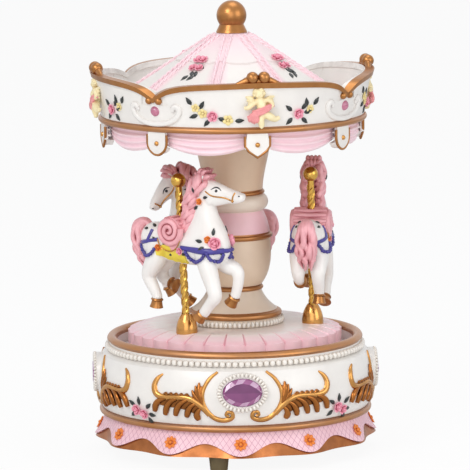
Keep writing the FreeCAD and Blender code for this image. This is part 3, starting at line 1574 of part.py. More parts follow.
def shield(pointed, drapery):
    """Shield that hangs where two swags meet."""
    half = SHIELD_WIDTH / 2
    top = COLUMN_TOP
    low = top - SHIELD_HEIGHT
    shoulder = low + SHIELD_POINT
    back = -(VALANCE_RADIUS - VALANCE_WALL)
    front = -(VALANCE_RADIUS + FOLD_RISE + SHIELD_THICKNESS)

    def place(x, z):
        return V(x, back, z)

    if pointed:
        tip = [(half, shoulder), (0.0, low), (-half, shoulder)]
    else:
        tip = [(half * 0.8, shoulder), ((0.0, low), (-half * 0.8, shoulder))]
    neck = half * 0.8
    steps = [(-neck, top), (neck, top)] + tip
    plate = Part.Face(outline_wire(steps, place)).extrude(V(0, front - back, 0))
    return plate.cut(drapery)


def shields(drapery):
    """Eight shields: pointed ones below the hearts, round ones below the notches."""
    made = []
    for i in range(SWAG_COUNT):
        angle = PANEL_FIRST_ANGLE + i * 360.0 / SWAG_COUNT
        cloth = turned(drapery, -angle)
        plate = shield(i % 2 == 0, cloth)
        main = max(plate.Solids, key=lambda s: s.Volume)
        made.append(turned(main, angle))
    return Part.Compound(made)


def shield_gems():
    """Small stone in the middle of each shield."""
    distance = VALANCE_RADIUS + FOLD_RISE + SHIELD_THICKNESS
    base = V(0, -distance, COLUMN_TOP - SHIELD_HEIGHT / 2)
    stone = dome(SHIELD_GEM_RADIUS, SHIELD_GEM_RISE, base, V(0, -1, 0))
    return Part.Compound(around(stone, SWAG_COUNT, PANEL_FIRST_ANGLE))


def roof():
    """Hollow tent with a scalloped upper tier and roped ribs."""
    eaves = CEILING_TOP + ROOF_EAVES_HEIGHT
    slope = ROOF_RISE / (ROOF_EAVES_RADIUS - ROOF_TOP_RADIUS)
    drop = ROOF_WALL * math.sqrt(1 + slope**2)
    hole = FINIAL_SPIGOT_RADIUS + FIT
    shell = lathe(
        [
            (ROOF_EAVES_RADIUS - ROOF_WALL, CEILING_TOP),
            (ROOF_EAVES_RADIUS, CEILING_TOP),
            (ROOF_EAVES_RADIUS, eaves),
            (ROOF_TOP_RADIUS, ROOF_TOP),
            (hole, ROOF_TOP),
            (hole, ROOF_TOP - drop),
            (ROOF_TOP_RADIUS, ROOF_TOP - drop),
            (ROOF_EAVES_RADIUS - ROOF_WALL, eaves - drop + slope * ROOF_WALL),
        ]
    )
    tier_z = ROOF_TOP - slope * (ROOF_TIER_RADIUS - ROOF_TOP_RADIUS)
    tier = lathe(
        [
            (ROOF_TOP_RADIUS, ROOF_TOP - drop / 2),
            (ROOF_TIER_RADIUS, tier_z - drop / 2),
            (ROOF_TIER_RADIUS, tier_z + ROOF_TIER_RISE),
            (ROOF_TOP_RADIUS, ROOF_TOP),
        ]
    )
    petals = scalloped_disc(
        ROOF_TIER_RADIUS,
        ROOF_TIER_SCALLOP,
        ROOF_RIB_COUNT,
        CEILING_TOP,
        ROOF_TOP - CEILING_TOP,
        PANEL_FIRST_ANGLE,
    )
    tier = tier.common(petals)
    ribs = []
    length = math.hypot(ROOF_RISE, ROOF_EAVES_RADIUS - ROOF_TOP_RADIUS)
    axis = V(0, -(ROOF_EAVES_RADIUS - ROOF_TOP_RADIUS), -ROOF_RISE).normalize()
    for side in (-1, 1):
        start = V(side * ROOF_RIB_SPREAD / 2, -ROOF_TOP_RADIUS, ROOF_TOP - ROOF_RIB_RADIUS / 2)
        rope = cylinder(ROOF_RIB_RADIUS, length - ROOF_RIB_SPREAD, start + axis * ROOF_RIB_SPREAD, axis)
        ribs += around(rope, ROOF_RIB_COUNT, PANEL_FIRST_ANGLE + 180.0 / ROOF_RIB_COUNT)
    return fused([shell, tier] + ribs)


def finial_collar():
    """Moulded collar on top of the roof, with a spigot down into it."""
    top = ROOF_TOP + FINIAL_COLLAR_HEIGHT
    bottom = ROOF_TOP - FINIAL_SPIGOT_LENGTH
    mid = ROOF_TOP + FINIAL_COLLAR_HEIGHT / 2
    step = (FINIAL_COLLAR_RADIUS + FINIAL_NECK_RADIUS) / 2
    return lathe(
        [
            (0, bottom),
            (FINIAL_SPIGOT_RADIUS, bottom),
            (FINIAL_SPIGOT_RADIUS, ROOF_TOP),
            (FINIAL_COLLAR_RADIUS, ROOF_TOP),
            ((step + 0.4, ROOF_TOP + FINIAL_COLLAR_HEIGHT / 4), (step, mid)),
            (FINIAL_NECK_RADIUS, top),
            (0, top),
        ]
    )


def finial_ball():
    """Ball on the collar, flat where it sits."""
    ball = Part.makeSphere(FINIAL_BALL_RADIUS, V(0, 0, FINIAL_BALL_Z))
    below = cylinder(
        2 * FINIAL_BALL_RADIUS,
        2 * FINIAL_BALL_RADIUS,
        V(0, 0, ROOF_TOP + FINIAL_COLLAR_HEIGHT - 2 * FINIAL_BALL_RADIUS),
    )
    return ball.cut(below)


def cherub(crown):
    """Winged child in relief on the front panel, cut to lie on the wall."""
    middle = COLUMN_TOP + CHERUB_HEIGHT
    wall = cornice_radius(middle)
    chest = V(0, -wall - 0.4, middle)
    wide, deep, high = CHERUB_BODY
    body = ellipsoid(chest, CHERUB_BODY)
    head = Part.makeSphere(
        CHERUB_HEAD_RADIUS, chest + V(-wide * 0.3, -deep * 0.5, high + CHERUB_HEAD_RADIUS * 0.7)
    )
    pieces = [body, head]
    hip = chest - UP * high * 0.6
    shoulder = chest + UP * high * 0.5
    for side in (-1, 1):
        knee = hip + V(side * wide * 1.1, -deep * 0.5, -high * 0.6)
        toe = hip + V(side * wide * (1.7 if side > 0 else 0.2), 0, -high * 1.5)
        pieces.append(
            limb(
                [(hip, CHERUB_LIMB_RADIUS * 1.3), (knee, CHERUB_LIMB_RADIUS * 1.1), (toe, CHERUB_LIMB_RADIUS * 0.8)],
                side=V(0, 1, 0),
            )
        )
        elbow = shoulder + V(side * wide * 1.2, -deep * 0.3, -high * 0.3)
        hand = shoulder + V(side * wide * 1.8, 0, -high * (0.1 if side > 0 else 0.9))
        pieces.append(
            limb(
                [(shoulder, CHERUB_LIMB_RADIUS), (elbow, CHERUB_LIMB_RADIUS * 0.9), (hand, CHERUB_LIMB_RADIUS * 0.7)],
                side=V(0, 1, 0),
            )
        )
        pieces.append(
            ellipsoid(shoulder + V(side * wide * 1.15, deep * 0.3, high * 0.45), CHERUB_WING)
        )
    whole = fused(pieces).cut(turned(crown, -PANEL_FIRST_ANGLE))
    return max(whole.Solids, key=lambda s: s.Volume)


def build():
    """Every piece by the name of its node."""
    casing = drum()
    crown = cornice()
    roll = moulding()
    drapery = valance()
    pockets = around(gem_pocket(), GEM_COUNT, GEM_FIRST_ANGLE)
    casing = casing.cut(pockets + plate_screw_holes())
    nodes = {
        "base_drum": casing,
        "base_plinth": plinth(),
        "lattice_skirt": lattice_skirt(),
        "bottom_plate": bottom_plate(),
        "bottom_plate_screws": plate_screws(),
        "turntable_bush": turntable_bush(),
        "gem_bezels": gem_bezels(casing),
        "bedplate": bedplate(),
        "bedplate_screws": bedplate_screws(),
        "comb": comb(),
        "comb_screws": comb_screws(),
        "governor_bridge": governor_bridge(),
        "music_cylinder": music_cylinder(),
        "cylinder_pinion": cylinder_pinion(),
        "cylinder_wheel": cylinder_wheel(),
        "train_axle": train_axle(),
        "train_pinion": train_pinion(),
        "worm_wheel": worm_wheel(),
        "governor_worm": governor_worm(),
        "governor_fan": governor_fan(),
        "spring_barrel": spring_barrel(),
        "barrel_cover": barrel_cover(),
        "mainspring": mainspring(),
        "drive_spindle": drive_spindle(),
        "winding_arbor": winding_arbor(),
        "winding_key": winding_key(),
        "turntable": turntable(),
        "centre_column": centre_column(),
        "canopy_cornice": crown,
        "cornice_mouldings": Part.Compound(around(roll, PANEL_COUNT, PANEL_FIRST_ANGLE)),
        "crown_balls": crown_balls(roll),
        "canopy_valance": drapery,
        "valance_shields": shields(drapery),
        "shield_gems": shield_gems(),
        "canopy_roof": roof(),
        "finial_collar": finial_collar(),
        "finial_ball": finial_ball(),
    }
    for i, shape in enumerate(around(gem(), GEM_COUNT, GEM_FIRST_ANGLE)):
        nodes[f"base_gem_{i + 1}"] = shape
    for i in range(FOOT_COUNT):
        angle = FOOT_FIRST_ANGLE + i * 360.0 / FOOT_COUNT
        piece = foot()
        piece.translate(polar(FOOT_CIRCLE_RADIUS, angle))
        nodes[f"foot_{i + 1}"] = piece
    bar, ball, bell = pole(), pole_ball(), pole_base()
    for i, shape in enumerate(horses()):
        nodes[f"horse_{i + 1}"] = shape
    for i, angle in enumerate(pole_angles()):
        nodes[f"pole_{i + 1}"] = on_pole(bar, angle)
        nodes[f"pole_ball_{i + 1}"] = on_pole(ball, angle)
        nodes[f"pole_base_{i + 1}"] = on_pole(bell, angle)
    stone = cornice_gem(crown)
    nodes["cornice_gems"] = Part.Compound(around(stone, PANEL_COUNT))
    nodes["cherubs"] = Part.Compound(around(cherub(crown), PANEL_COUNT, PANEL_FIRST_ANGLE))
    return nodes


def main():
    """Write one STEP file for each node."""
    os.makedirs("parts", exist_ok=True)
    for name, shape in build().items():
        shape.exportStep(f"parts/{name}.step")
        box = shape.BoundBox
        print(
            f"{name}: {len(shape.Solids)} solids, valid {shape.isValid()}, "
            f"{shape.Volume:.1f} mm3, z {box.ZMin:.2f} to {box.ZMax:.2f}"
        )


main()
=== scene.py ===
"""Looks of the carousel music box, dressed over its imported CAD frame.

Every sketch is drawn in millimetres in the frame of the CAD model: the turning axis is Z, the front is -Y
and angles run from the front towards +X.
"""
from __future__ import annotations

import json
import logging
from dataclasses import dataclass
from enum import Enum
from functools import partial
from math import atan2, cos, degrees, hypot, pi, radians, sin, tau
from typing import Iterable, Sequence

import bmesh
import bpy
from bpy.types import ID, Material, Mesh, Node, NodeSocket, NodeTree, Object
from mathutils import Matrix, Vector
from mathutils.bvhtree import BVHTree

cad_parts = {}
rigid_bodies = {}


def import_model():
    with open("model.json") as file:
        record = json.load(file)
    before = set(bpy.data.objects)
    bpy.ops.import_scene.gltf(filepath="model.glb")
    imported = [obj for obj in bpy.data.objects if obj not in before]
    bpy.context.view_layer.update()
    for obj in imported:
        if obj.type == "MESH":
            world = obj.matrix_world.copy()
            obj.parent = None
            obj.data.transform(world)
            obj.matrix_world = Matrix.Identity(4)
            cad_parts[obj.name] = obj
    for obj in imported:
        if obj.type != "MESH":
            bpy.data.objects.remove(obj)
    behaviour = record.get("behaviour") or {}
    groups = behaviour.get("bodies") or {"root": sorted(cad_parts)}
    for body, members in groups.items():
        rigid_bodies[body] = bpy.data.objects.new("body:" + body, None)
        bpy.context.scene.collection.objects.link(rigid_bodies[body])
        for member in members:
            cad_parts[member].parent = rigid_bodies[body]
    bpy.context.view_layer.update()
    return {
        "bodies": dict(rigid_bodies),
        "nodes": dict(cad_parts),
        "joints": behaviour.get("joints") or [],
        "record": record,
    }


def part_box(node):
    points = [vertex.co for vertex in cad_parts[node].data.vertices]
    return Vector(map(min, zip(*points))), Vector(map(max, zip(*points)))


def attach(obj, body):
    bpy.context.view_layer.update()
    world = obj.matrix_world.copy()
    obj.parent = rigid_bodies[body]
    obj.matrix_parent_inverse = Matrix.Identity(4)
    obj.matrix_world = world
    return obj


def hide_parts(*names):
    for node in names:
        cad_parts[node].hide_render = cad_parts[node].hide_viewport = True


LOG = logging.getLogger("carousel")
MM = 0.001
UP = Vector((0, 0, 1))
SIDES = (-1, 1)
PEAK_ANGLE = 10.6
ROUGH_SPREAD = (0.8, 1.25)
COAT_ROUGHNESS = 0.18
BUMP_DEPTH = 0.0002
Colour = tuple[float, float, float, float]
Point = Sequence[float]
Faces = list[Sequence[int]]
Line = tuple[tuple[float, float], ...]
Spots = tuple[tuple[float, float, float], ...]
Section = tuple[tuple[float, float], tuple[float, float], float]


def paint(red: int, green: int, blue: int) -> Colour:
    """Turn a paint's display values into a linear colour.

    Args:
        red: Red, from 0 to 255.
        green: Green, likewise.
        blue: Blue, likewise.

    Returns:
        The colour.
    """
    def linear(value: int) -> float:
        """Return one channel in linear light."""
        share = value / 255
        return share / 12.92 if share <= 0.04045 else ((share + 0.055) / 1.055) ** 2.4
    return (linear(red), linear(green), linear(blue), 1.0)


def place(radius: float, angle: float, height: float) -> Vector:
    """Return the point at a radius, an angle from the front in degrees and a height."""
    turn = radians(angle)
    return Vector((radius * sin(turn), -radius * cos(turn), height))


def smooth_path(points: Sequence[Point], steps: int = 6) -> list[Vector]:
    """Return a smooth curve through flat or spatial points.

    Args:
        points: Places that the curve passes.
        steps: Number of pieces between two places.

    Returns:
        The places along the curve.
    """
    knots = [Vector(p).to_3d() for p in points]
    knots = [2 * knots[0] - knots[1]] + knots + [2 * knots[-1] - knots[-2]]
    path = []
    for a, b, c, d in zip(knots, knots[1:], knots[2:], knots[3:]):
        for step in range(steps):
            t = step / steps
            path.append(0.5 * (2 * b + (c - a) * t + (2 * a - 5 * b + 4 * c - d) * t * t
                               + (3 * b - a - 3 * c + d) * t ** 3))
    path.append(knots[-2])
    return path


def tapered(values: Sequence[float], count: int) -> list[float]:
    """Spread values evenly over a list.

    Args:
        values: Values to run through.
        count: Length of the list.

    Returns:
        The list.
    """
    out = []
    for i in range(count):
        t = i / max(count - 1, 1) * (len(values) - 1)
        low = min(int(t), len(values) - 2)
        out.append(values[low] + (values[low + 1] - values[low]) * (t - low))
    return out


def quads(rings: int, size: int, wrap: bool = False) -> Faces:
    """Return the faces between neighbouring rings of points, and from the last to the first if they wrap."""
    return [(i * size + k, i * size + (k + 1) % size, (i + 1) % rings * size + (k + 1) % size,
             (i + 1) % rings * size + k) for i in range(rings if wrap else rings - 1) for k in range(size)]


def spread(count: int, first: float = 0.0) -> list[float]:
    """Return angles that are spread evenly round the axis."""
    return [first + 360 * i / count for i in range(count)]


def apart(found: Iterable[tuple[Vector, Vector]]) -> tuple[list[Vector], list[Vector]]:
    """Return the places and the normals of seated points as two lists."""
    pairs = list(found)
    return [p[0] for p in pairs], [p[1] for p in pairs]


def linked(name: str, data: ID) -> Object:
    """Link new data into the scene.

    Args:
        name: Name of its object.
        data: The mesh, camera or lamp.

    Returns:
        The object.
    """
    made = bpy.data.objects.new(name, data)
    bpy.context.scene.collection.objects.link(made)
    return made


class Sketch:
    """Closed forms in millimetres that become one mesh."""

    def __init__(self) -> None:
        """Start with no form."""
        self.points: list[Vector] = []
        self.faces: list[tuple[int, ...]] = []

    def add(self, points: Iterable[Point], faces: Iterable[Sequence[int]]) -> Sketch:
        """Add one form.

        Args:
            points: Its points.
            faces: Its faces, by the numbers of its points.

        Returns:
            The sketch itself.
        """
        base = len(self.points)
        self.points.extend(Vector(p) for p in points)
        self.faces.extend(tuple(i + base for i in f) for f in faces)
        return self

    def tube(self, path: Sequence[Point], radii: Sequence[float], sides: int = 10, flat: float = 1.0,
             normals: Sequence[Vector] | None = None) -> Sketch:
        """Add a closed tube along a path.

        Args:
            path: Places along the middle.
            radii: Half widths, spread evenly along the path.
            sides: Number of faces round the tube.
            flat: Thickness across the normal, as a share of the width.
            normals: Directions that the flat side faces, one for each place.

        Returns:
            The sketch itself.
        """
        middle = [Vector(p) for p in path]
        count = len(middle)
        half = tapered(radii, count)
        points = []
        up = None
        for i, centre in enumerate(middle):
            along = (middle[min(i + 1, count - 1)] - middle[max(i - 1, 0)]).normalized()
            if normals is not None:
                up = normals[i] - along * normals[i].dot(along)
                up = up.normalized() if up.length > 1e-6 else along.orthogonal().normalized()
            else:
                seed = up if up is not None else along.orthogonal()
                up = (seed - along * seed.dot(along)).normalized()
            across = along.cross(up)
            for k in range(sides):
                a = tau * k / sides
                points.append(centre + half[i] * (across * cos(a) + up * (flat * sin(a))))
        ends = [list(range(sides))[::-1], [(count - 1) * sides + k for k in range(sides)]]
        return self.add(points, quads(count, sides) + ends)

    def ball(self, centre: Point, half: Point, matrix: Matrix | None = None, rings: int = 8,
             sides: int = 12) -> Sketch:
        """Add an ellipsoid.

        Args:
            centre: Its middle.
            half: Its three half sizes.
            matrix: A turn of its axes.
            rings: Faces from pole to pole.
            sides: Faces round it.

        Returns:
            The sketch itself.
        """
        turn = matrix.to_3x3() if matrix is not None else Matrix.Identity(3)
        middle, pole = Vector(centre), turn @ Vector((0, 0, half[2]))
        points = [middle + pole]
        for i in range(1, rings):
            tilt = pi * i / rings
            for k in range(sides):
                a = tau * k / sides
                points.append(middle + turn @ Vector((
                    half[0] * sin(tilt) * cos(a), half[1] * sin(tilt) * sin(a),
                    half[2] * cos(tilt))))
        points.append(middle - pole)
        last = len(points) - 1
        faces: Faces = []
        for k in range(sides):
            n = (k + 1) % sides
            faces.append((0, 1 + k, 1 + n))
            for i in range(rings - 2):
                a, b = 1 + i * sides, 1 + (i + 1) * sides
                faces.append((a + k, b + k, b + n, a + n))
            faces.append((1 + (rings - 2) * sides + k, last, 1 + (rings - 2) * sides + n))
        return self.add(points, faces)

    def slab(self, front: Sequence[Sequence[Point]], back: Sequence[Sequence[Point]]) -> Sketch:
        """Add a closed sheet between two grids of places.

        Args:
            front: Rows of places on its front.
            back: Rows of places on its back.

        Returns:
            The sketch itself.
        """
        rows, cols = len(front), len(front[0])
        points = [p for row in front for p in row] + [p for row in back for p in row]
        off = rows * cols
        faces: Faces = []
        for i in range(rows - 1):
            for a in range(i * cols, (i + 1) * cols - 1):
                faces.append((a, a + cols, a + cols + 1, a + 1))
                faces.append((off + a, off + a + 1, off + a + cols + 1, off + a + cols))
        rim = [*range(cols), *range(2 * cols - 1, off, cols), *range(off - 2, off - cols - 1, -1),
               *range(off - 2 * cols, 0, -cols)]
        for a, b in zip(rim, rim[1:] + rim[:1]):
            faces.append((a, b, off + b, off + a))
        return self.add(points, faces)

    def mesh(self, name: str) -> Mesh:
        """Turn the sketch into a mesh.

        Args:
            name: Name of the mesh.

        Returns:
            The mesh in metres.
        """
        data = bpy.data.meshes.new(name)
        data.from_pydata([p * MM for p in self.points], [], self.faces)
        data.validate()
        shape = bmesh.new()
        shape.from_mesh(data)
        bmesh.ops.recalc_face_normals(shape, faces=shape.faces)
        shape.to_mesh(data)
        shape.free()
        data.update()
        return data


class Skin:
    """Outside of CAD nodes or sketched forms, for ornaments to sit on."""

    OUTSIDE, CEILING = 90.0, 250.0
    SPARE_RADIUS, SPARE_HEIGHT = 50.0, 150.0

    def __init__(self, points: list[Vector], faces: list[tuple[int, ...]]) -> None:
        """Keep a search tree of the faces, in millimetres."""
        self.tree = BVHTree.FromPolygons(points, faces)

    @classmethod
    def of_mesh(cls, data: Mesh) -> Skin:
        """Return the skin of a mesh in metres."""
        return cls([v.co / MM for v in data.vertices], [tuple(p.vertices) for p in data.polygons])

    def cast(self, start: Vector, direction: Vector) -> tuple[Vector, Vector] | None:
        """Find where a ray meets the skin.

        Args:
            start: Where it starts.
            direction: Where it goes.

        Returns:
            The place and its outward normal, or None.
        """
        hit, normal, _, _ = self.tree.ray_cast(start, direction.normalized())
        if hit is None:
            return None
        return hit, normal if normal.dot(direction) < 0 else -normal

    def round(self, angle: float, height: float, rise: float = 0.0) -> tuple[Vector, Vector]:
        """Find a place round the axis.

        Args:
            angle: Its angle from the front in degrees.
            height: Its height.
            rise: Height above the skin.

        Returns:
            The place and its outward normal.
        """
        start = place(self.OUTSIDE, angle, height)
        found = self.cast(start, Vector((-start.x, -start.y, 0)))
        point, normal = found if found else (place(self.SPARE_RADIUS, angle, height), place(1, angle, 0))
        return point + normal * rise, normal

    def along(self, line: Sequence[Point], steps: int, middle: float, rise: float,
              side: int = 1) -> tuple[list[Vector], list[Vector]]:
        """Return a smooth line on the skin.

        Args:
            line: Its angles from the middle and its heights.
            steps: Number of pieces between two of its points.
            middle: Angle that it starts from.
            rise: Height above the skin.
            side: Way in which its angles run.

        Returns:
            Its places and its normals.
        """
        return apart(self.round(middle + side * p.x, p.y, rise) for p in smooth_path(line, steps))

    def above(self, radius: float, angle: float) -> tuple[Vector, Vector]:
        """Return the place and normal at a radius and an angle, seen from above."""
        found = self.cast(place(radius, angle, self.CEILING), -UP)
        return found if found else (place(radius, angle, self.SPARE_HEIGHT), UP.copy())


def feed(tree: NodeTree, target: Node, inputs: dict[str | int, object]) -> None:
    """Set the inputs of a node to values, or link them to sockets.

    Args:
        tree: Tree of the node.
        target: The node.
        inputs: Values or sockets, by the name or number of the input.
    """
    for name, value in inputs.items():
        if isinstance(value, NodeSocket):
            tree.links.new(value, target.inputs[name])
        else:
            target.inputs[name].default_value = value


def node(tree: NodeTree, kind: str, inputs: dict[str | int, object] | None = None,
         **settings: object) -> Node:
    """Add a node to a tree.

    Args:
        tree: Tree that takes it.
        kind: Its type.
        inputs: Values of its inputs, or the sockets that feed them.
        settings: Its other settings.

    Returns:
        The node.
    """
    made = tree.nodes.new(kind)
    for name, value in settings.items():
        setattr(made, name, value)
    feed(tree, made, inputs or {})
    return made


def calc(tree: NodeTree, operation: str, *terms: object, clamp: bool = False) -> NodeSocket:
    """Return the result of one sum in a tree, whose terms are sockets or numbers."""
    made = node(tree, "ShaderNodeMath", dict(enumerate(terms)), operation=operation, use_clamp=clamp)
    return made.outputs["Value"]


def sockets(tree: NodeTree, side: str, kinds: dict[str, str]) -> None:
    """Add named sockets to one side of a node group."""
    for name, kind in kinds.items():
        tree.interface.new_socket(name=name, in_out=side, socket_type=f"NodeSocket{kind}")


class Effects:
    """Shader node groups that several finishes share."""

    @staticmethod
    def mottle_and_painted_shade() -> NodeTree:
        """Mottle a paint and darken its hollows with painted shade, found by ambient occlusion.

        Returns:
            The group, made once.
        """
        name = "hand paint"
        if name in bpy.data.node_groups:
            return bpy.data.node_groups[name]
        tree = bpy.data.node_groups.new(name, "ShaderNodeTree")
        sockets(tree, "INPUT", {"Coat": "Color", "Wash": "Color", "Mottle": "Float", "Scale": "Float",
                                "Wash Amount": "Float", "Reach": "Float"})
        sockets(tree, "OUTPUT", {"Colour": "Color", "Height": "Float", "Gloss": "Float"})
        start = node(tree, "NodeGroupInput")
        spot = node(tree, "ShaderNodeTexCoord").outputs["Object"]
        broad = node(tree, "ShaderNodeTexNoise", {"Vector": spot, "Scale": start.outputs["Scale"], "Detail": 5})
        fine = node(tree, "ShaderNodeTexNoise", {"Vector": spot, "Scale": 1500, "Detail": 3})
        # Painted shade: ambient occlusion finds hollows and creases, which the mix below darkens towards the shade
        # colour.
        hollow = node(tree, "ShaderNodeAmbientOcclusion", {"Distance": start.outputs["Reach"]}, only_local=True,
                      samples=8)
        level = node(tree, "ShaderNodeMapRange",
                     {"Value": broad.outputs["Fac"], "From Min": 0.35, "From Max": 0.75})
        mottle = calc(tree, "MULTIPLY", level.outputs["Result"], start.outputs["Mottle"])
        inside = calc(tree, "SUBTRACT", 1.0, hollow.outputs["AO"])
        painted_shade = calc(tree, "MULTIPLY", inside, start.outputs["Wash Amount"])
        # The mix carries both the random mottle and the painted shade in hollows.
        mix = node(tree, "ShaderNodeMix", {
            "Factor": calc(tree, "ADD", mottle, painted_shade, clamp=True), "A": start.outputs["Coat"],
            "B": start.outputs["Wash"]}, data_type="RGBA")
        node(tree, "NodeGroupOutput", {"Colour": mix.outputs["Result"], "Height": fine.outputs["Fac"],
                                       "Gloss": broad.outputs["Fac"]})
        return tree


class Pattern(Enum):
    """Ways in which the first colour of a finish gives way to the second."""

    PLAIN = "plain"
    RADIUS = "radius"
    HEIGHT = "height"
    LATTICE = "lattice"
    GORES = "gores"


@dataclass(frozen=True)
class Finish:
    """A painted, gilded or polished finish.

    A pattern needs stops, which are pairs of a place and a colour: a radius or a height in millimetres, or the
    angle of a gore in degrees. A stop of a radius or a height may hold a third value, its metallic share.
    """

    name: str
    coat: Colour
    # Colour that the random mottle and the painted shade in hollows both mix towards.
    painted_shade: Colour
    rough: float = 0.42
    metal: float = 0.0
    mottle: float = 0.25
    scale: float = 120.0
    # Strength of the painted shade in hollows; reach is how far the occlusion looks.
    painted_shade_amount: float = 0.5
    reach: float = 0.003
    bump: float = 0.1
    gloss: float = 0.0
    pattern: Pattern = Pattern.PLAIN
    stops: tuple[tuple, ...] = ()
    sharp: bool = False

    def material(self) -> Material:
        """Mix the finish.

        Returns:
            The material, made once.
        """
        if self.name in bpy.data.materials:
            return bpy.data.materials[self.name]
        made = bpy.data.materials.new(self.name)
        made.use_nodes = True
        tree = made.node_tree
        shader = tree.nodes["Principled BSDF"]
        group = node(tree, "ShaderNodeGroup", {
            "Coat": self.coat, "Wash": self.painted_shade, "Mottle": self.mottle, "Scale": self.scale,
            "Wash Amount": self.painted_shade_amount, "Reach": self.reach}, node_tree=Effects.mottle_and_painted_shade())
        matt = node(tree, "ShaderNodeMapRange", {
            "Value": group.outputs["Gloss"], "To Min": self.rough * ROUGH_SPREAD[0],
            "To Max": min(self.rough * ROUGH_SPREAD[1], 1.0)})
        bump = node(tree, "ShaderNodeBump", {
            "Strength": self.bump, "Distance": BUMP_DEPTH, "Height": group.outputs["Height"]})
        feed(tree, shader, {"Metallic": self.metal, "Coat Weight": self.gloss, "Coat Roughness": COAT_ROUGHNESS,
                            "Base Color": group.outputs["Colour"], "Roughness": matt.outputs["Result"],
                            "Normal": bump.outputs["Normal"]})
        if self.pattern is not Pattern.PLAIN:
            self._pattern(tree, group, shader, bump)
        return made

    def _pattern(self, tree: NodeTree, group: Node, shader: Node,
                 bump: Node) -> None:
        """Colour the coat of the group by the finish's pattern.

        Args:
            tree: Nodes of the material.
            group: The paint group.
            shader: The surface shader.
            bump: The bump node of the surface.
        """
        of = partial(calc, tree)
        spot = node(tree, "ShaderNodeTexCoord").outputs["Object"]
        x, y, z = node(tree, "ShaderNodeSeparateXYZ", {"Vector": spot}).outputs
        radius = of("SQRT", of("ADD", of("MULTIPLY", x, x), of("MULTIPLY", y, y)))
        angle = of("ARCTAN2", x, of("MULTIPLY", y, -1.0))
        if self.pattern in (Pattern.RADIUS, Pattern.HEIGHT):
            self._ramps(tree, group, shader, radius if self.pattern is Pattern.RADIUS else z)
            return
        if self.pattern is Pattern.LATTICE:
            skirt_radius, slant, pitch, line_width, strength, groove = 0.054, 0.75, 1250.0, 0.13, 0.8, -1.5
            turns = of("MULTIPLY", angle, skirt_radius)
            lines = []
            for slope in (slant, -slant):
                lean = of("MULTIPLY", of("ADD", turns, of("MULTIPLY", z, slope)), pitch)
                lines.append(of("LESS_THAN", of("ABSOLUTE", of("SINE", lean)), line_width))
            net = of("MAXIMUM", *lines)
            share = of("MULTIPLY", net, strength)
            feed(tree, bump, {"Height": of("ADD", group.outputs["Height"], of("MULTIPLY", net, groove))})
        else:
            gore_count = 8.0
            shift = of("SUBTRACT", angle, radians(self.stops[0][0]))
            wave = of("COSINE", of("MULTIPLY", shift, gore_count))
            rib = node(tree, "ShaderNodeMapRange",
                       {"Value": wave, "From Min": 0.25, "From Max": 1.0, "To Max": 0.75})
            crest = node(tree, "ShaderNodeMapRange",
                         {"Value": radius, "From Min": 0.026, "From Max": 0.007, "To Max": 0.9})
            share = of("MAXIMUM", rib.outputs["Result"], crest.outputs["Result"])
        mix = node(tree, "ShaderNodeMix", {"Factor": share, "A": self.coat, "B": self.stops[0][1]},
                   data_type="RGBA")
        feed(tree, group, {"Coat": mix.outputs["Result"]})

    def _ramps(self, tree: NodeTree, group: Node, shader: Node,
               value: NodeSocket) -> None:
        """Run the coat, and the metal where a stop names it, through colour ramps.

        Args:
            tree: Nodes of the material.
            group: The paint group.
            shader: The surface shader.
            value: Radius or height of the place.
        """
        low, high = self.stops[0][0] * MM, self.stops[-1][0] * MM
        reach = node(tree, "ShaderNodeMapRange", {"Value": value, "From Min": low, "From Max": high})
        layers = [(group, "Coat", lambda stop: stop[1])]
        if len(self.stops[0]) > 2:
            layers.append((shader, "Metallic", lambda stop: (stop[2],) * 3 + (1.0,)))
        for target, socket, look in layers:
            ramp = node(tree, "ShaderNodeValToRGB", {"Fac": reach.outputs["Result"]})
            ramp.color_ramp.interpolation = "CONSTANT" if self.sharp else "EASE"
            steps = ramp.color_ramp.elements
            steps.remove(steps[1])
            steps[0].position = 0.0
            steps[0].color = look(self.stops[0])
            for stop in self.stops[1:]:
                steps.new((stop[0] * MM - low) / (high - low)).color = look(stop)
            feed(tree, target, {socket: ramp.outputs["Color"]})


@dataclass(frozen=True)
class Stone:
    """A cut glass stone."""

    name: str
    tint: Colour
    deep: Colour
    rough: float = 0.06
    clear: float = 0.3
    index: float = 1.55
    gloss: float = 0.6
    scale: float = 160.0

    def material(self) -> Material:
        """Mix the glass.

        Returns:
            The material, made once.
        """
        if self.name in bpy.data.materials:
            return bpy.data.materials[self.name]
        made = bpy.data.materials.new(self.name)
        made.use_nodes = True
        tree = made.node_tree
        spot = node(tree, "ShaderNodeTexCoord").outputs["Object"]
        noise = node(tree, "ShaderNodeTexNoise", {"Vector": spot, "Scale": self.scale})
        mix = node(tree, "ShaderNodeMix", {"Factor": noise.outputs["Fac"], "A": self.deep, "B": self.tint},
                   data_type="RGBA")
        feed(tree, tree.nodes["Principled BSDF"], {
            "Roughness": self.rough, "Transmission Weight": self.clear, "IOR": self.index, "Coat Weight": self.gloss,
            "Base Color": mix.outputs["Result"]})
        return made


IVORY_TONE = paint(240, 236, 230)
PINK_TONE = paint(247, 204, 212)
GOLD_TONE = paint(178, 122, 70)
BEIGE_TONE = paint(243, 222, 196)
CREAM_TONE = paint(242, 230, 213)
UMBER = paint(92, 54, 26)
# Painted shade colour of the ivory paints, which their mottle also drifts towards.
LILAC_SHADE = paint(176, 166, 168)
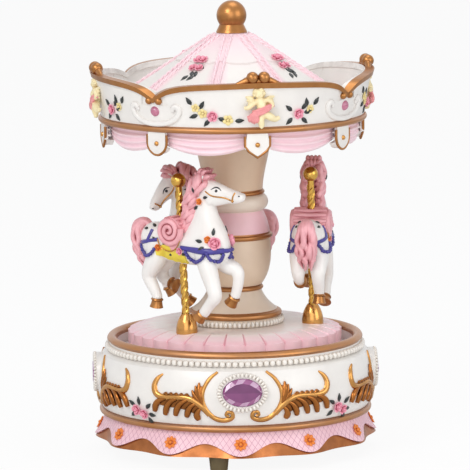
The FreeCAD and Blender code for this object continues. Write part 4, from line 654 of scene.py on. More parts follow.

# The second colour of each finish is the colour of its random mottle and of the painted shade in its hollows.
IVORY = Finish("ivory paint", IVORY_TONE, LILAC_SHADE, 0.4, mottle=0.12, painted_shade_amount=0.55, gloss=0.25)
HORSE_WHITE = Finish("horse white", paint(244, 240, 235), paint(196, 176, 166), 0.36, mottle=0.1,
                     painted_shade_amount=0.6, reach=0.004, gloss=0.3)
PEARL = Finish("pearl", paint(242, 236, 227), paint(158, 138, 116), 0.25, mottle=0.15, scale=300, painted_shade_amount=0.9,
               reach=0.0012, gloss=0.6)
PINK = Finish("pale pink paint", PINK_TONE, paint(226, 160, 176), 0.42, mottle=0.2, painted_shade_amount=0.7, gloss=0.2)
ROSE = Finish("rose pink paint", paint(246, 182, 188), paint(164, 56, 68), 0.42, mottle=0.3, scale=260,
              painted_shade_amount=1.0, reach=0.0025, gloss=0.2)
DRAPE = Finish("drapery pink", paint(252, 224, 229), paint(234, 168, 186), 0.42, mottle=0.15, painted_shade_amount=0.75,
               gloss=0.2)
CORD = Finish("roof cord paint", paint(250, 224, 229), paint(230, 182, 194), 0.45, mottle=0.2, painted_shade_amount=0.6)
PETAL = Finish("rose petals", paint(246, 170, 188), paint(202, 80, 112), 0.5, mottle=0.3, scale=500,
               painted_shade_amount=0.8, reach=0.001)
LEAF = Finish("black green leaves", paint(22, 30, 27), paint(8, 10, 10), 0.35, mottle=0.4, scale=700, gloss=0.3)
YELLOW_PETAL = Finish("yellow petals", paint(244, 226, 160), paint(200, 160, 80), 0.5, mottle=0.3, scale=600)
ORANGE = Finish("orange petals", paint(244, 142, 52), paint(190, 80, 24), 0.5, mottle=0.4, scale=600,
                painted_shade_amount=0.8, reach=0.001)
INDIGO = Finish("indigo harness", paint(66, 56, 150), paint(24, 20, 66), 0.35, mottle=0.35, scale=500, gloss=0.4)
BLANKET = Finish("yellow saddle cloth", paint(240, 218, 74), paint(196, 148, 40), 0.5, mottle=0.35, scale=350,
                 painted_shade_amount=0.7)
GOLD = Finish("antique gold", GOLD_TONE, UMBER, 0.3, 0.85, mottle=0.35, scale=180, painted_shade_amount=0.9, bump=0.08)
LEAF_GOLD = Finish("carved gold leaf", paint(168, 104, 48), paint(60, 28, 8), 0.2, 0.85, mottle=0.3, scale=200,
                   painted_shade_amount=1.3, reach=0.004, bump=0.06)
BRIGHT_GOLD = Finish("pale gold", paint(206, 150, 84), UMBER, 0.2, 0.9, mottle=0.3, scale=260,
                     painted_shade_amount=1.0, reach=0.002, bump=0.08)
COPPER = Finish("copper gold", paint(172, 106, 60), paint(84, 40, 18), 0.3, 0.8, mottle=0.4, scale=260,
                painted_shade_amount=0.9)
BRASS = Finish("polished brass", paint(218, 172, 84), paint(104, 66, 22), 0.22, 0.95, mottle=0.3, scale=240,
               painted_shade_amount=1.0, reach=0.0015, bump=0.05)
STEEL = Finish("steel", paint(176, 178, 182), paint(96, 98, 102), 0.35, 1.0, mottle=0.3, scale=300)
BLUED = Finish("blued spring steel", paint(92, 104, 128), paint(44, 48, 62), 0.3, 1.0, mottle=0.4, scale=300)
ZINC = Finish("die cast zinc", paint(150, 152, 155), paint(96, 96, 98), 0.5, 0.9, mottle=0.35, scale=200)
RUBBER = Finish("olive brown foot", paint(112, 98, 66), paint(66, 56, 34), 0.6, mottle=0.4, scale=160, bump=0.3)
FELT = Finish("grey base plate", paint(206, 203, 198), paint(160, 156, 150), 0.7, mottle=0.3, bump=0.4)
CHERUB = Finish("cherub ivory", paint(246, 232, 186), paint(198, 158, 92), 0.42, mottle=0.25, scale=300,
                painted_shade_amount=1.0, reach=0.002, gloss=0.2)
SASH = Finish("cherub sash", paint(240, 158, 158), paint(196, 92, 100), 0.45, mottle=0.3, scale=400)
INK = Finish("ink line", paint(34, 30, 34), paint(12, 10, 14), 0.35, mottle=0.2, scale=500)
AMETHYST = Stone("amethyst glass", paint(148, 64, 130), paint(84, 34, 82))
# Lit copies of the amethyst for the cut stones: painted light on the lower table, painted highlights and half light on
# the crown facets.
AMETHYST_LIT_TABLE = Stone("amethyst table with painted light", paint(164, 76, 142), paint(104, 44, 98))
AMETHYST_HIGHLIGHT_FACETS = Stone("amethyst facets with painted highlight", paint(246, 214, 236), paint(214, 152, 204))
AMETHYST_HALF_LIT_FACETS = Stone("amethyst facets with painted half light", paint(200, 120, 178), paint(150, 70, 130))
ROSE_GLASS = Stone("rose glass", paint(232, 150, 176), paint(190, 96, 132))
# The stem above the top gold ring, from 107.2 mm, is painted a darker beige as painted shade under the canopy.
COLUMN_PAINT = Finish(
    "column paint", BEIGE_TONE, paint(176, 146, 120), 0.42, mottle=0.2, scale=70, painted_shade_amount=0.3, gloss=0.2,
    pattern=Pattern.HEIGHT, sharp=True,
    stops=((51.0, CREAM_TONE, 0.0), (55.2, GOLD_TONE, 0.85), (57.9, paint(238, 222, 202), 0.0),
           (65.9, GOLD_TONE, 0.85), (68.1, BEIGE_TONE, 0.0), (87.2, GOLD_TONE, 0.85), (89.7, paint(251, 208, 216), 0.0),
           (98.6, CREAM_TONE, 0.0), (105.2, GOLD_TONE, 0.85), (107.2, paint(232, 206, 176), 0.0),
           (137.0, IVORY_TONE, 0.0)))
DRUM_PAINT = Finish(
    "drum paint", IVORY_TONE, LILAC_SHADE, 0.38, mottle=0.12, painted_shade_amount=0.5, gloss=0.25,
    pattern=Pattern.HEIGHT, sharp=True,
    stops=((12.0, GOLD_TONE, 0.85), (18.9, IVORY_TONE, 0.0), (45.2, GOLD_TONE, 0.85), (50.0, GOLD_TONE, 0.85)))
MOULDING_PAINT = Finish(
    "gilded moulding", GOLD_TONE, UMBER, 0.32, mottle=0.3, scale=180, painted_shade_amount=0.7, pattern=Pattern.RADIUS,
    sharp=True,
    stops=((50.0, IVORY_TONE, 0.0), (54.2, GOLD_TONE, 0.85), (60.0, GOLD_TONE, 0.85)))
CORNICE_PAINT = Finish(
    "cornice paint", paint(238, 233, 225), LILAC_SHADE, 0.4, mottle=0.12, painted_shade_amount=0.5, gloss=0.2,
    pattern=Pattern.HEIGHT, sharp=True,
    stops=((130.0, IVORY_TONE, 0.0), (135.6, GOLD_TONE, 0.85), (138.6, IVORY_TONE, 0.0), (160.0, IVORY_TONE, 0.0)))
PLATE_PAINT = Finish(
    "petal plate paint", IVORY_TONE, paint(232, 168, 180), 0.42, mottle=0.2, scale=160, painted_shade_amount=0.8,
    reach=0.0025, gloss=0.2, pattern=Pattern.RADIUS,
    stops=((18.0, paint(248, 240, 230)), (33.0, paint(251, 245, 240)), (39.0, paint(252, 226, 229)),
           (43.0, paint(252, 210, 217)), (46.0, paint(253, 232, 234))))
SKIRT_PAINT = Finish(
    "lattice paint", paint(248, 208, 216), paint(222, 150, 170), 0.45, mottle=0.2, painted_shade_amount=0.5,
    pattern=Pattern.LATTICE, stops=((0.0, paint(186, 122, 150)),))
ROOF_PAINT = Finish(
    "tent roof paint", paint(240, 236, 230), paint(214, 196, 196), 0.45, mottle=0.2, scale=60,
    painted_shade_amount=0.4, pattern=Pattern.GORES, stops=((PEAK_ANGLE + 22.5, paint(248, 212, 221)),))


def finished(name: str, shape: Sketch | Mesh, finish: Finish | Stone, body: str,
             replaces: Sequence[str] = (), smooth: bool = True, edge: float = 45.0) -> Object:
    """Put one finished piece into the scene.

    Args:
        name: Name of the piece.
        shape: Its sketch, or its mesh in metres.
        finish: Its finish.
        body: Body that it rides on.
        replaces: CAD nodes that it stands for.
        smooth: Whether its faces are shaded smooth.
        edge: Angle in degrees from which an edge stays sharp.

    Returns:
        The object.
    """
    data = shape.mesh(name) if isinstance(shape, Sketch) else shape
    data.materials.clear()
    data.materials.append(finish.material())
    if smooth:
        data.shade_smooth()
        data.set_sharp_from_angle(angle=radians(edge))
    else:
        data.shade_flat()
    piece = linked(name, data)
    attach(piece, body)
    if replaces:
        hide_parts(*replaces)
    LOG.info("%s: %d faces", name, len(data.polygons))
    return piece


def evaluated(piece: Object) -> Mesh:
    """Apply an object's modifiers and remove the object.

    Args:
        piece: The object.

    Returns:
        Its plain mesh.
    """
    bpy.context.view_layer.update()
    graph = bpy.context.evaluated_depsgraph_get()
    data = bpy.data.meshes.new_from_object(piece.evaluated_get(graph), depsgraph=graph)
    bpy.data.objects.remove(piece, do_unlink=True)
    return data


def carved(sketch: Sketch, voxel: float, rounds: int) -> Mesh:
    """Melt the forms of a sketch into one smooth skin.

    Args:
        sketch: The overlapping forms.
        voxel: Size of the remeshed faces in millimetres.
        rounds: Number of smoothing rounds.

    Returns:
        The mesh in metres.
    """
    piece = linked("carving", sketch.mesh("carving"))
    melt = piece.modifiers.new("melt", "REMESH")
    melt.mode = "VOXEL"
    melt.voxel_size = voxel * MM
    soften = piece.modifiers.new("soften", "SMOOTH")
    soften.factor = 0.5
    soften.iterations = rounds
    return evaluated(piece)


@dataclass(frozen=True)
class Seat:
    """Place of one scattered ornament."""

    point: Vector
    normal: Vector
    size: float = 1.0
    spin: float = 0.0
    along: Vector | None = None

    def turn(self) -> Matrix:
        """Turn the ornament's Z to the normal and its X to the chosen direction.

        Returns:
            The turn.
        """
        up = self.normal.normalized()
        guide = self.along if self.along is not None else UP.cross(up)
        guide = guide - up * guide.dot(up)
        guide = guide.normalized() if guide.length > 1e-5 else up.orthogonal().normalized()
        frame = Matrix((guide, up.cross(guide), up)).transposed()
        return frame @ Matrix.Rotation(radians(self.spin), 3, "Z")


class Scatter:
    """Geometry Nodes tree that sets one ornament on every point of a guide."""

    NAME = "set ornaments"

    @classmethod
    def tree(cls) -> NodeTree:
        """Set, realise and dress the ornaments.

        Returns:
            The tree, made once.
        """
        if cls.NAME in bpy.data.node_groups:
            return bpy.data.node_groups[cls.NAME]
        tree = bpy.data.node_groups.new(cls.NAME, "GeometryNodeTree")
        sockets(tree, "INPUT", {"Geometry": "Geometry", "Ornament": "Object", "Finish": "Material"})
        sockets(tree, "OUTPUT", {"Geometry": "Geometry"})
        start = node(tree, "NodeGroupInput")
        info = node(tree, "GeometryNodeObjectInfo", {"Object": start.outputs["Ornament"], "As Instance": True})
        turn = node(tree, "GeometryNodeInputNamedAttribute", {"Name": "turn"}, data_type="FLOAT_VECTOR")
        size = node(tree, "GeometryNodeInputNamedAttribute", {"Name": "size"}, data_type="FLOAT")
        rotation = node(tree, "FunctionNodeEulerToRotation", {"Euler": turn.outputs["Attribute"]})
        instances = node(tree, "GeometryNodeInstanceOnPoints", {
            "Points": start.outputs["Geometry"], "Instance": info.outputs["Geometry"],
            "Rotation": rotation.outputs["Rotation"], "Scale": size.outputs["Attribute"]})
        realize = node(tree, "GeometryNodeRealizeInstances", {"Geometry": instances.outputs["Instances"]})
        dress = node(tree, "GeometryNodeSetMaterial", {
            "Geometry": realize.outputs["Geometry"], "Material": start.outputs["Finish"]})
        node(tree, "NodeGroupOutput", {"Geometry": dress.outputs["Geometry"]})
        return tree

    @classmethod
    def mesh(cls, ornament: Sketch, seats: Sequence[Seat], finish: Finish) -> Mesh:
        """Return one mesh with the ornament on every seat.

        Args:
            ornament: Its form, at size 1 about its own origin, facing +Z.
            seats: Places for it.
            finish: Its finish.

        Returns:
            The realised mesh in metres.
        """
        pattern = linked("ornament", ornament.mesh("ornament"))
        guide = bpy.data.meshes.new("guide")
        guide.from_pydata([s.point * MM for s in seats], [], [])
        guide.attributes.new("turn", "FLOAT_VECTOR", "POINT")
        guide.attributes.new("size", "FLOAT", "POINT")
        for i, seat in enumerate(seats):
            guide.attributes["turn"].data[i].vector = seat.turn().to_euler()
            guide.attributes["size"].data[i].value = seat.size
        holder = linked("guide", guide)
        work = holder.modifiers.new("ornaments", "NODES")
        work.node_group = cls.tree()
        values = {"Ornament": pattern, "Finish": finish.material()}
        for socket in cls.tree().interface.items_tree:
            if socket.in_out == "INPUT" and socket.name in values:
                work[socket.identifier] = values[socket.name]
        data = evaluated(holder)
        bpy.data.objects.remove(pattern, do_unlink=True)
        return data

    @classmethod
    def piece(cls, name: str, ornament: Sketch, seats: Sequence[Seat], finish: Finish, body: str, slot: str) -> None:
        """Put one piece into the scene that has the ornament on every seat.

        Args:
            name: Name of the piece.
            ornament: Form of the ornament.
            seats: Places for it.
            finish: Its finish.
            body: Body that it rides on.
            slot: Material slot of the record; not used.
        """
        finished(name, cls.mesh(ornament, seats, finish), finish, body)


class Ornaments:
    """Small repeated forms, each about 1 mm in half size and facing +Z."""

    @staticmethod
    def _ring(centre: Point, half: Point, petals: Iterable[tuple]) -> Sketch:
        """Return a round eye with tilted petals about it.

        Args:
            centre: Middle of the eye.
            half: Half sizes of the eye.
            petals: Turn, reach, lift, lean in degrees and half sizes of each petal.

        Returns:
            The flower.
        """
        flower = Sketch().ball(centre, half, rings=6, sides=8)
        for angle, reach, lift, lean, size in petals:
            turn = Matrix.Rotation(angle, 4, "Z")
            tilt = Matrix.Rotation(-radians(lean), 4, "Y")
            flower.ball(turn @ Vector((reach, 0, lift)), size, turn @ tilt, rings=6, sides=8)
        return flower

    @staticmethod
    def bead(half: Point = (1, 1, 1)) -> Sketch:
        """Return a pearl."""
        return Sketch().ball((0, 0, 0), half, rings=6, sides=8)

    @classmethod
    def seed_pearl(cls) -> Sketch:
        """Return a pearl that is taller than wide."""
        return cls.bead((0.74, 1.15, 0.85))

    @classmethod
    def rose(cls) -> Sketch:
        """Open a rose of a bud and two rings of cupped petals.

        Returns:
            The rose.
        """
        rings = ((3, 0.0, 0.3, 0.42, 62, 0.36), (5, 0.5, 0.58, 0.24, 38, 0.46))
        return cls._ring((0, 0, 0.42), (0.3, 0.3, 0.34), (
            (tau * (i + shift) / count, reach, lift, lean, (half, half * 1.1, 0.13))
            for count, shift, reach, lift, lean, half in rings for i in range(count)))

    @staticmethod
    def leaf() -> Sketch:
        """Shape a pointed leaf along +X with a raised middle.

        Returns:
            The leaf.
        """
        length, across = 1.9, (1, 0.5, 0, -0.5, -1)
        rows, under = [], []
        for i in range(7):
            t = i / 6
            half = 0.42 * sin(pi * t ** 0.75) + 0.02
            lift = 0.16 * sin(pi * t)
            rows.append([(length * t, half * s, lift + 0.12 * (1 - abs(s))) for s in across])
            under.append([(length * t, half * s, -0.06) for s in across])
        return Sketch().slab(rows, under)

    @classmethod
    def flower(cls, petals: int) -> Sketch:
        """Shape a flat flower with a round eye.

        Args:
            petals: Number of its petals.

        Returns:
            The flower.
        """
        size = (0.4, 0.36 * 5 / petals + 0.08, 0.13)
        return cls._ring((0, 0, 0.2), (0.28, 0.28, 0.24),
                         ((tau * i / petals, 0.62, 0.12, 14, size) for i in range(petals)))


@dataclass
class Studio:
    """Camera, floor and light."""

    distance: float = 1.8
    elevation: float = 8.1
    target: float = 0.0881
    field_width: float = 0.1925
    shift: float = 0.0005
    roll: float = -0.6
    sensor: float = 36.0
    far: float = 20.0
    sky: Colour = (0.94, 0.96, 1.0, 1.0)
    world_share: float = 0.46
    floor_half: float = 3.0
    floor_tone: Colour = (0.9, 0.9, 0.9, 1.0)
    floor_rough: float = 0.9
    floor_glow: float = 0.92
    lamp_aim: float = 0.09
    lamps: tuple[tuple[str, Point, float, float], ...] = (
        ("key light", (-0.55, -0.75, 0.85), 4.5, 0.5), ("fill light", (0.75, -0.6, 0.4), 2.3, 0.6),
        ("front light", (-0.15, -1.15, 0.42), 2.8, 0.8), ("top light", (0.1, 0.1, 0.95), 1.6, 0.5))

    def build(self) -> None:
        """Set up the whole studio."""
        self._camera()
        self._world()
        self._floor()
        for lamp in self.lamps:
            self._lamp(*lamp)
        bpy.context.scene.view_settings.view_transform = "Standard"

    def _camera(self) -> None:
        """Stand the camera at the photograph's angle."""
        data = bpy.data.cameras.new("camera")
        data.sensor_width = self.sensor
        data.lens = self.sensor * self.distance / self.field_width
        data.clip_end = self.far
        camera = linked("camera", data)
        rise = radians(self.elevation)
        aim = Vector((self.shift, 0, self.target))
        camera.location = aim + self.distance * Vector((0, -cos(rise), sin(rise)))
        level = Matrix.Rotation(pi / 2 - rise, 4, "X")
        camera.rotation_euler = (level @ Matrix.Rotation(radians(self.roll), 4, "Z")).to_euler()
        bpy.context.scene.camera = camera

    def _world(self) -> None:
        """Light softly from all round and show white behind the object."""
        world = bpy.data.worlds.new("studio")
        bpy.context.scene.world = world
        world.use_nodes = True
        tree = world.node_tree
        path = node(tree, "ShaderNodeLightPath").outputs
        seen = calc(tree, "MAXIMUM", path["Is Camera Ray"], path["Is Transmission Ray"])
        both = calc(tree, "MAXIMUM", seen, path["Is Glossy Ray"])
        level = node(tree, "ShaderNodeMapRange", {"Value": both, "To Min": self.world_share, "To Max": 1.0})
        feed(tree, tree.nodes["Background"], {"Color": self.sky, "Strength": level.outputs["Result"]})

    def _floor(self) -> None:
        """Lay a pale floor that keeps a faint shadow."""
        data = bpy.data.meshes.new("floor")
        half = self.floor_half
        data.from_pydata([(-half, -half, 0), (half, -half, 0), (half, half, 0), (-half, half, 0)], [], [(0, 1, 2, 3)])
        made = bpy.data.materials.new("pale floor")
        made.use_nodes = True
        tree = made.node_tree
        shader = tree.nodes["Principled BSDF"]
        feed(tree, shader, {"Base Color": self.floor_tone, "Roughness": self.floor_rough})
        glow = node(tree, "ShaderNodeEmission")
        path = node(tree, "ShaderNodeLightPath")
        share = calc(tree, "MULTIPLY", path.outputs["Is Camera Ray"], self.floor_glow)
        mix = node(tree, "ShaderNodeMixShader",
                   {"Fac": share, 1: shader.outputs["BSDF"], 2: glow.outputs["Emission"]})
        feed(tree, tree.nodes["Material Output"], {"Surface": mix.outputs["Shader"]})
        data.materials.append(made)
        floor = linked("floor", data)

    def _lamp(self, name: str, where: Point, power: float, size: float) -> None:
        """Hang one soft lamp that points at the middle of the object.

        Args:
            name: Name of the lamp.
            where: Its place in metres.
            power: Its power in watts.
            size: Its width in metres.
        """
        data = bpy.data.lights.new(name, "AREA")
        data.energy = power
        data.size = size
        lamp = linked(name, data)
        lamp.location = where
        lamp.rotation_euler = (Vector((0, 0, self.lamp_aim)) - Vector(where)).to_track_quat("-Z", "Y").to_euler()


@dataclass
class CadPieces:
    """Finishes of the CAD nodes, also of those that a finished piece stands for."""

    wearers: tuple[tuple[Finish | Stone, str], ...] = (
        (DRUM_PAINT, "base_drum"), (COPPER, "base_plinth"), (SKIRT_PAINT, "lattice_skirt"),
        (FELT, "bottom_plate governor_fan"),
        (STEEL, "bottom_plate_screws bedplate_screws comb comb_screws train_axle governor_worm drive_spindle "
                "winding_arbor"),
        (BRASS, "turntable_bush music_cylinder cylinder_pinion cylinder_wheel train_pinion worm_wheel winding_key "
                "pole_1 pole_2 pole_3 pole_ball_1 pole_ball_2 pole_ball_3"),
        (ZINC, "bedplate governor_bridge spring_barrel barrel_cover"), (BLUED, "mainspring"),
        (PLATE_PAINT, "turntable"), (COLUMN_PAINT, "centre_column"), (CORNICE_PAINT, "canopy_cornice"),
        (MOULDING_PAINT, "cornice_mouldings"), (GOLD, "crown_balls finial_collar finial_ball"),
        (ROOF_PAINT, "canopy_roof"), (ROSE_GLASS, "cornice_gems"),
        (BRIGHT_GOLD, "shield_gems pole_base_1 pole_base_2 pole_base_3"), (IVORY, "valance_shields gem_bezels"),
        (PINK, "canopy_valance"), (CHERUB, "cherubs"), (RUBBER, "foot_1 foot_2 foot_3"),
        (AMETHYST, "base_gem_1 base_gem_2 base_gem_3 base_gem_4"), (HORSE_WHITE, "horse_1 horse_2 horse_3"))

    def dress(self, nodes: dict[str, Object]) -> None:
        """Give every CAD node its finish.

        Args:
            nodes: Objects of the CAD nodes, by name.
        """
        for finish, names in self.wearers:
            for name in names.split():
                data = nodes[name].data
                data.materials.clear()
                data.materials.append(finish.material())
                LOG.info("%s wears %s", name, finish.name)


@dataclass
class Base:
    """Pearls, gem settings, gold scrolls and roses of the bellied base."""

    skin: Skin
    skirt: Skin
    gem_angle: float = 2.8
    gem_height: float = 32.65
    gem_half: tuple[float, float] = (8.2, 6.0)
    gem_table: float = 58.65
    pearl_ring: tuple[float, float] = (9.35, 7.05)
    ring_count: int = 36
    setting_back: float = 54.6
    setting_face: float = 57.4
    gem_count: int = 4
    pearl_count: int = 130
    pearl_height: float = 43.3
    lobe_angle: float = 2.0
    lobe_count: int = 12
    scroll: Line = (
        (10.2, 40.6), (13.4, 38.0), (15.7, 34.1), (16.2, 30.2), (15.0, 26.3), (12.6, 23.1), (9.7, 21.6), (6.5, 21.4),
        (4.2, 22.5), (4.3, 24.4), (5.9, 24.8), (6.6, 23.6), (5.6, 22.9))
    sprig: Line = ((16.0, 27.6), (16.9, 30.6), (17.6, 33.6), (17.6, 36.4))
    branch: Line = (
        (13.4, 23.6), (16.4, 26.9), (19.8, 29.2), (23.4, 30.2), (28.3, 30.1), (33.4, 30.0), (36.6, 31.2),
        (37.6, 34.2), (36.5, 37.0), (34.3, 38.9))
    spine: Line = ((16.6, 26.6), (19.6, 28.8), (23.4, 29.8), (28.6, 29.8), (34.0, 29.8))
    lobes: tuple[Line, ...] = (
        ((16.9, 26.3), (18.1, 25.0), (18.7, 23.4), (18.0, 21.6)),
        ((18.8, 28.2), (20.8, 27.0), (22.2, 25.0), (23.0, 22.6)),
        ((22.4, 29.4), (25.0, 28.1), (26.8, 25.9), (27.9, 23.0)),
        ((27.0, 29.6), (29.6, 28.4), (31.4, 26.2), (32.6, 23.0)),
        ((31.8, 29.6), (34.4, 28.7), (36.4, 27.0), (37.5, 24.0)))

    def build(self) -> None:
        """Build and dress everything on the base."""
        self._frill()
        self._pearl_row()
        self._settings()
        self._gems()
        self._scrolls()
        self._roses()
        self._lobe_flowers()

    def _frill(self) -> None:
        """Hang the lattice skirt over the plinth, its hem a smooth wave that drops at every flower."""
        rows, turns, top, reach, drop, wave = 9, 360, 16.0, 52.6, 9.1, 2.2
        depth, flared, bend, ripple, outer, inner = 10.0, 3.8, 1.4, 1.3, 0.9, 0.06
        points = []
        for turn in spread(turns):
            swell = cos(radians(self.lobe_count * turn))
            heights = [top - (drop - wave * (1 - swell)) * r / (rows - 1) for r in range(rows)]
            for rise, column in ((outer, heights), (inner, heights[::-1])):
                for height in column:
                    share = (top - height) / depth
                    flare = flared * share ** bend + ripple * share * swell
                    points.append(place(reach + rise + flare, self.lobe_angle + turn, height))
        frill = Sketch().add(points, quads(turns, 2 * rows, True))
        finished("lattice_frill", frill, SKIRT_PAINT, "base", ("lattice_skirt",))

    def _pearl_row(self) -> None:
        """Lay the row of pearls on the shoulder."""
        seats = [Seat(*self.skin.round(angle, self.pearl_height, 0.5), 1.36) for angle in spread(self.pearl_count)]
        Scatter.piece("base_pearls", Ornaments.bead(), seats, PEARL, "base", "ivory_resin")

    def _settings(self) -> None:
        """Cut the oval setting of each gem and lay its ring of pearls."""
        seats, settings = [], Sketch()
        sides, face, chamfer, proud = 48, self.setting_face, 0.3, 0.15
        outer, bevel, inner = (10.1, 7.85), (9.8, 7.55), (8.0, 5.8)
        wall = ((outer, self.setting_back), (outer, face - chamfer), (bevel, face), (inner, face),
                (inner, self.setting_back))
        for angle in spread(self.gem_count, self.gem_angle):
            out = place(1, angle, 0)
            across = UP.cross(out)

            def oval(turn: float, half: tuple[float, float], depth: float) -> Vector:
                """Return a place of an oval that faces outwards."""
                return (out * depth + across * (half[0] * cos(turn))
                        + Vector((0, 0, self.gem_height + half[1] * sin(turn))))

            settings.add([oval(tau * i / sides, half, depth) for i in range(sides) for half, depth in wall],
                         quads(sides, len(wall), True))
            wide, tall = self.pearl_ring
            for i in range(self.ring_count):
                a = tau * i / self.ring_count
                tangent = across * (-wide * sin(a)) + Vector((0, 0, tall * cos(a)))
                seats.append(Seat(oval(a, self.pearl_ring, face + proud), out, along=tangent))
        finished("gem_settings", settings, IVORY, "base", ("gem_bezels",))
        Scatter.piece("gem_pearls", Ornaments.seed_pearl(), seats, PEARL, "base", "ivory_resin")

    def _gems(self) -> None:
        """Cut the four stones, with a dark pointed table and paler crown facets, where the CAD gems are. The paler
        facets carry painted highlights and half light by turns, and the lower half of the table is painted light
        against its dark upper half.
        """
        looks = (AMETHYST, AMETHYST_HIGHLIGHT_FACETS, AMETHYST_HALF_LIT_FACETS, AMETHYST_LIT_TABLE)
        sides = 16
        rings = ((0.97, 0.97, 4.2, 0, 0), (1.0, 1.0, 2.4, 0, 0), (0.95, 0.93, 1.1, 0.5, 0), (0.93, 0.66, 0.0, 0, 1))
        faces: Faces = []
        tones: list[int] = []
        # Each face gets a tone: plain amethyst on the back, painted highlight and painted half light by turns on the
        # crown.
        for row in range(len(rings) - 1):
            for i in range(sides):
                a, b = row * sides + i, row * sides + (i + 1) % sides
                c, d = b + sides, a + sides
                faces += [(a, b, d), (b, c, d)] if row == 1 else [(a, b, c), (a, c, d)]
                tones += ((0, 0), (1, 2), (2 - i % 2, 1 + i % 2))[row]
        table = list(range(3 * sides, 4 * sides))
        faces += [list(range(sides))[::-1], table[:9], table[8:] + table[:1]]
        # The upper half of the table stays plain dark amethyst; its lower half gets painted light.
        tones += [0, 0, 3]
        for number, angle in enumerate(spread(self.gem_count, self.gem_angle), 1):
            out = place(1, angle, 0)
            across = UP.cross(out)
            points = []
            for wide, tall, depth, twist, pointed in rings:
                for i in range(sides):
                    a = tau * (i + twist) / sides
                    rise = sin(a) * abs(sin(a)) ** pointed
                    points.append(out * (self.gem_table - depth) + across * (self.gem_half[0] * wide * cos(a))
                                  + Vector((0, 0, self.gem_height + self.gem_half[1] * tall * rise)))
            stone = finished(f"amethyst_{number}", Sketch().add(points, faces), AMETHYST, "base",
                             (f"base_gem_{number}",), smooth=False)
            for look in looks[1:]:
                stone.data.materials.append(look.material())
            for face, tone in zip(stone.data.polygons, tones):
                face.material_index = tone

    def _scrolls(self) -> None:
        """Lay the gold scrolls with their acanthus leaves on both sides of every gem."""
        stems, leaves = Sketch(), Sketch()
        blades = [(self.sprig, 0.4, (0.6, 1.15, 1.25, 0.35), 8, 0.7)]
        for shift, drop in ((-1.2, 1.4), (1.5, 1.2), (2.9, 3.0)):
            bend = tuple((a + shift * i / 3, h - drop * i / 3) for i, (a, h) in enumerate(self.sprig))
            blades.append((bend, 0.35, (0.5, 0.85, 0.95, 0.3), 8, 0.7))
        ridges = [(lobe, 0.45, (0.6, 0.85, 1.05, 1.25, 1.4, 1.35, 1.0), 10, 0.9) for lobe in self.lobes]
        curls = []
        for lift in range(5):
            start = 21.6 + 2.3 * lift
            curl = ((start, 30.6), (start + 1.0, 31.5), (start + 2.2, 31.3))
            curls.append((curl, 0.4, (0.5, 0.7, 0.2), 6, 0.8))
        high, low = smooth_path(self.spine, 4), smooth_path([lobe[2] for lobe in self.lobes], 4)
        rows = [[a.lerp(b, v / 4) for a, b in zip(high, low)] for v in range(5)]
        stalks = ((self.scroll, 0.1, (0.55, 0.8, 0.85, 0.85, 1.0, 1.15, 1.05, 0.9, 0.75, 0.7, 0.8), 8, 0.8),
                  (self.branch, 0.1, (1.2, 1.4, 1.3, 1.2, 1.1, 1.35, 1.35, 1.1, 0.4), 8, 0.8))
        for middle in spread(self.gem_count, self.gem_angle):
            for side in (1, -1):
                def lay(sketch: Sketch, forms: Iterable[tuple]) -> None:
                    """Lay tubes along lines on the drum.

                    Args:
                        sketch: Sketch that takes them.
                        forms: Line, rise, half widths, number of sides and flatness of each.
                    """
                    for line, rise, radii, sides, flat in forms:
                        path, normals = self.skin.along(line, 5, middle, rise, side)
                        sketch.tube(path, radii, sides, flat, normals)

                lay(stems, stalks)
                lay(leaves, blades + ridges)
                leaves.slab(*([[self.skin.round(middle + side * p.x, p.y, rise)[0] for p in row] for row in rows]
                              for rise in (0.3, -0.4)))
                lay(leaves, curls)
        finished("base_scroll_stems", stems, BRIGHT_GOLD, "base")
        finished("base_scroll_leaves", leaves, LEAF_GOLD, "base")

    def _roses(self) -> None:
        """Set a pair of roses with leaves between the scrolls, low on the drum."""
        roses, leaves = [], []
        for middle in spread(self.gem_count, self.gem_angle + 45):
            for shift, height, size in ((-1.9, 23.6, 2.5), (1.9, 22.2, 2.3)):
                roses.append(Seat(*self.skin.round(middle + shift, height, 0.2), size, 40 * shift))
            for spin, shift, height in ((150, -3.2, 25.0), (95, -0.6, 25.4), (40, 2.8, 24.4), (-10, 3.8, 22.2),
                                        (-60, 3.2, 20.6), (215, -3.6, 22.2)):
                leaves.append(Seat(*self.skin.round(middle + shift, height, 0.15), 1.9, spin))
        Scatter.piece("base_roses", Ornaments.rose(), roses, PETAL, "base", "pink_resin")
        Scatter.piece("base_leaves", Ornaments.leaf(), leaves, LEAF, "base", "pink_resin")

    def _lobe_flowers(self) -> None:
        """Set an orange flower on each lobe of the skirt."""
        flowers = [Seat(*self.skirt.round(angle, 11.2), 2.7) for angle in spread(self.lobe_count, self.lobe_angle)]
        Scatter.piece("skirt_flowers", Ornaments.flower(8), flowers, ORANGE, "base", "pink_resin")


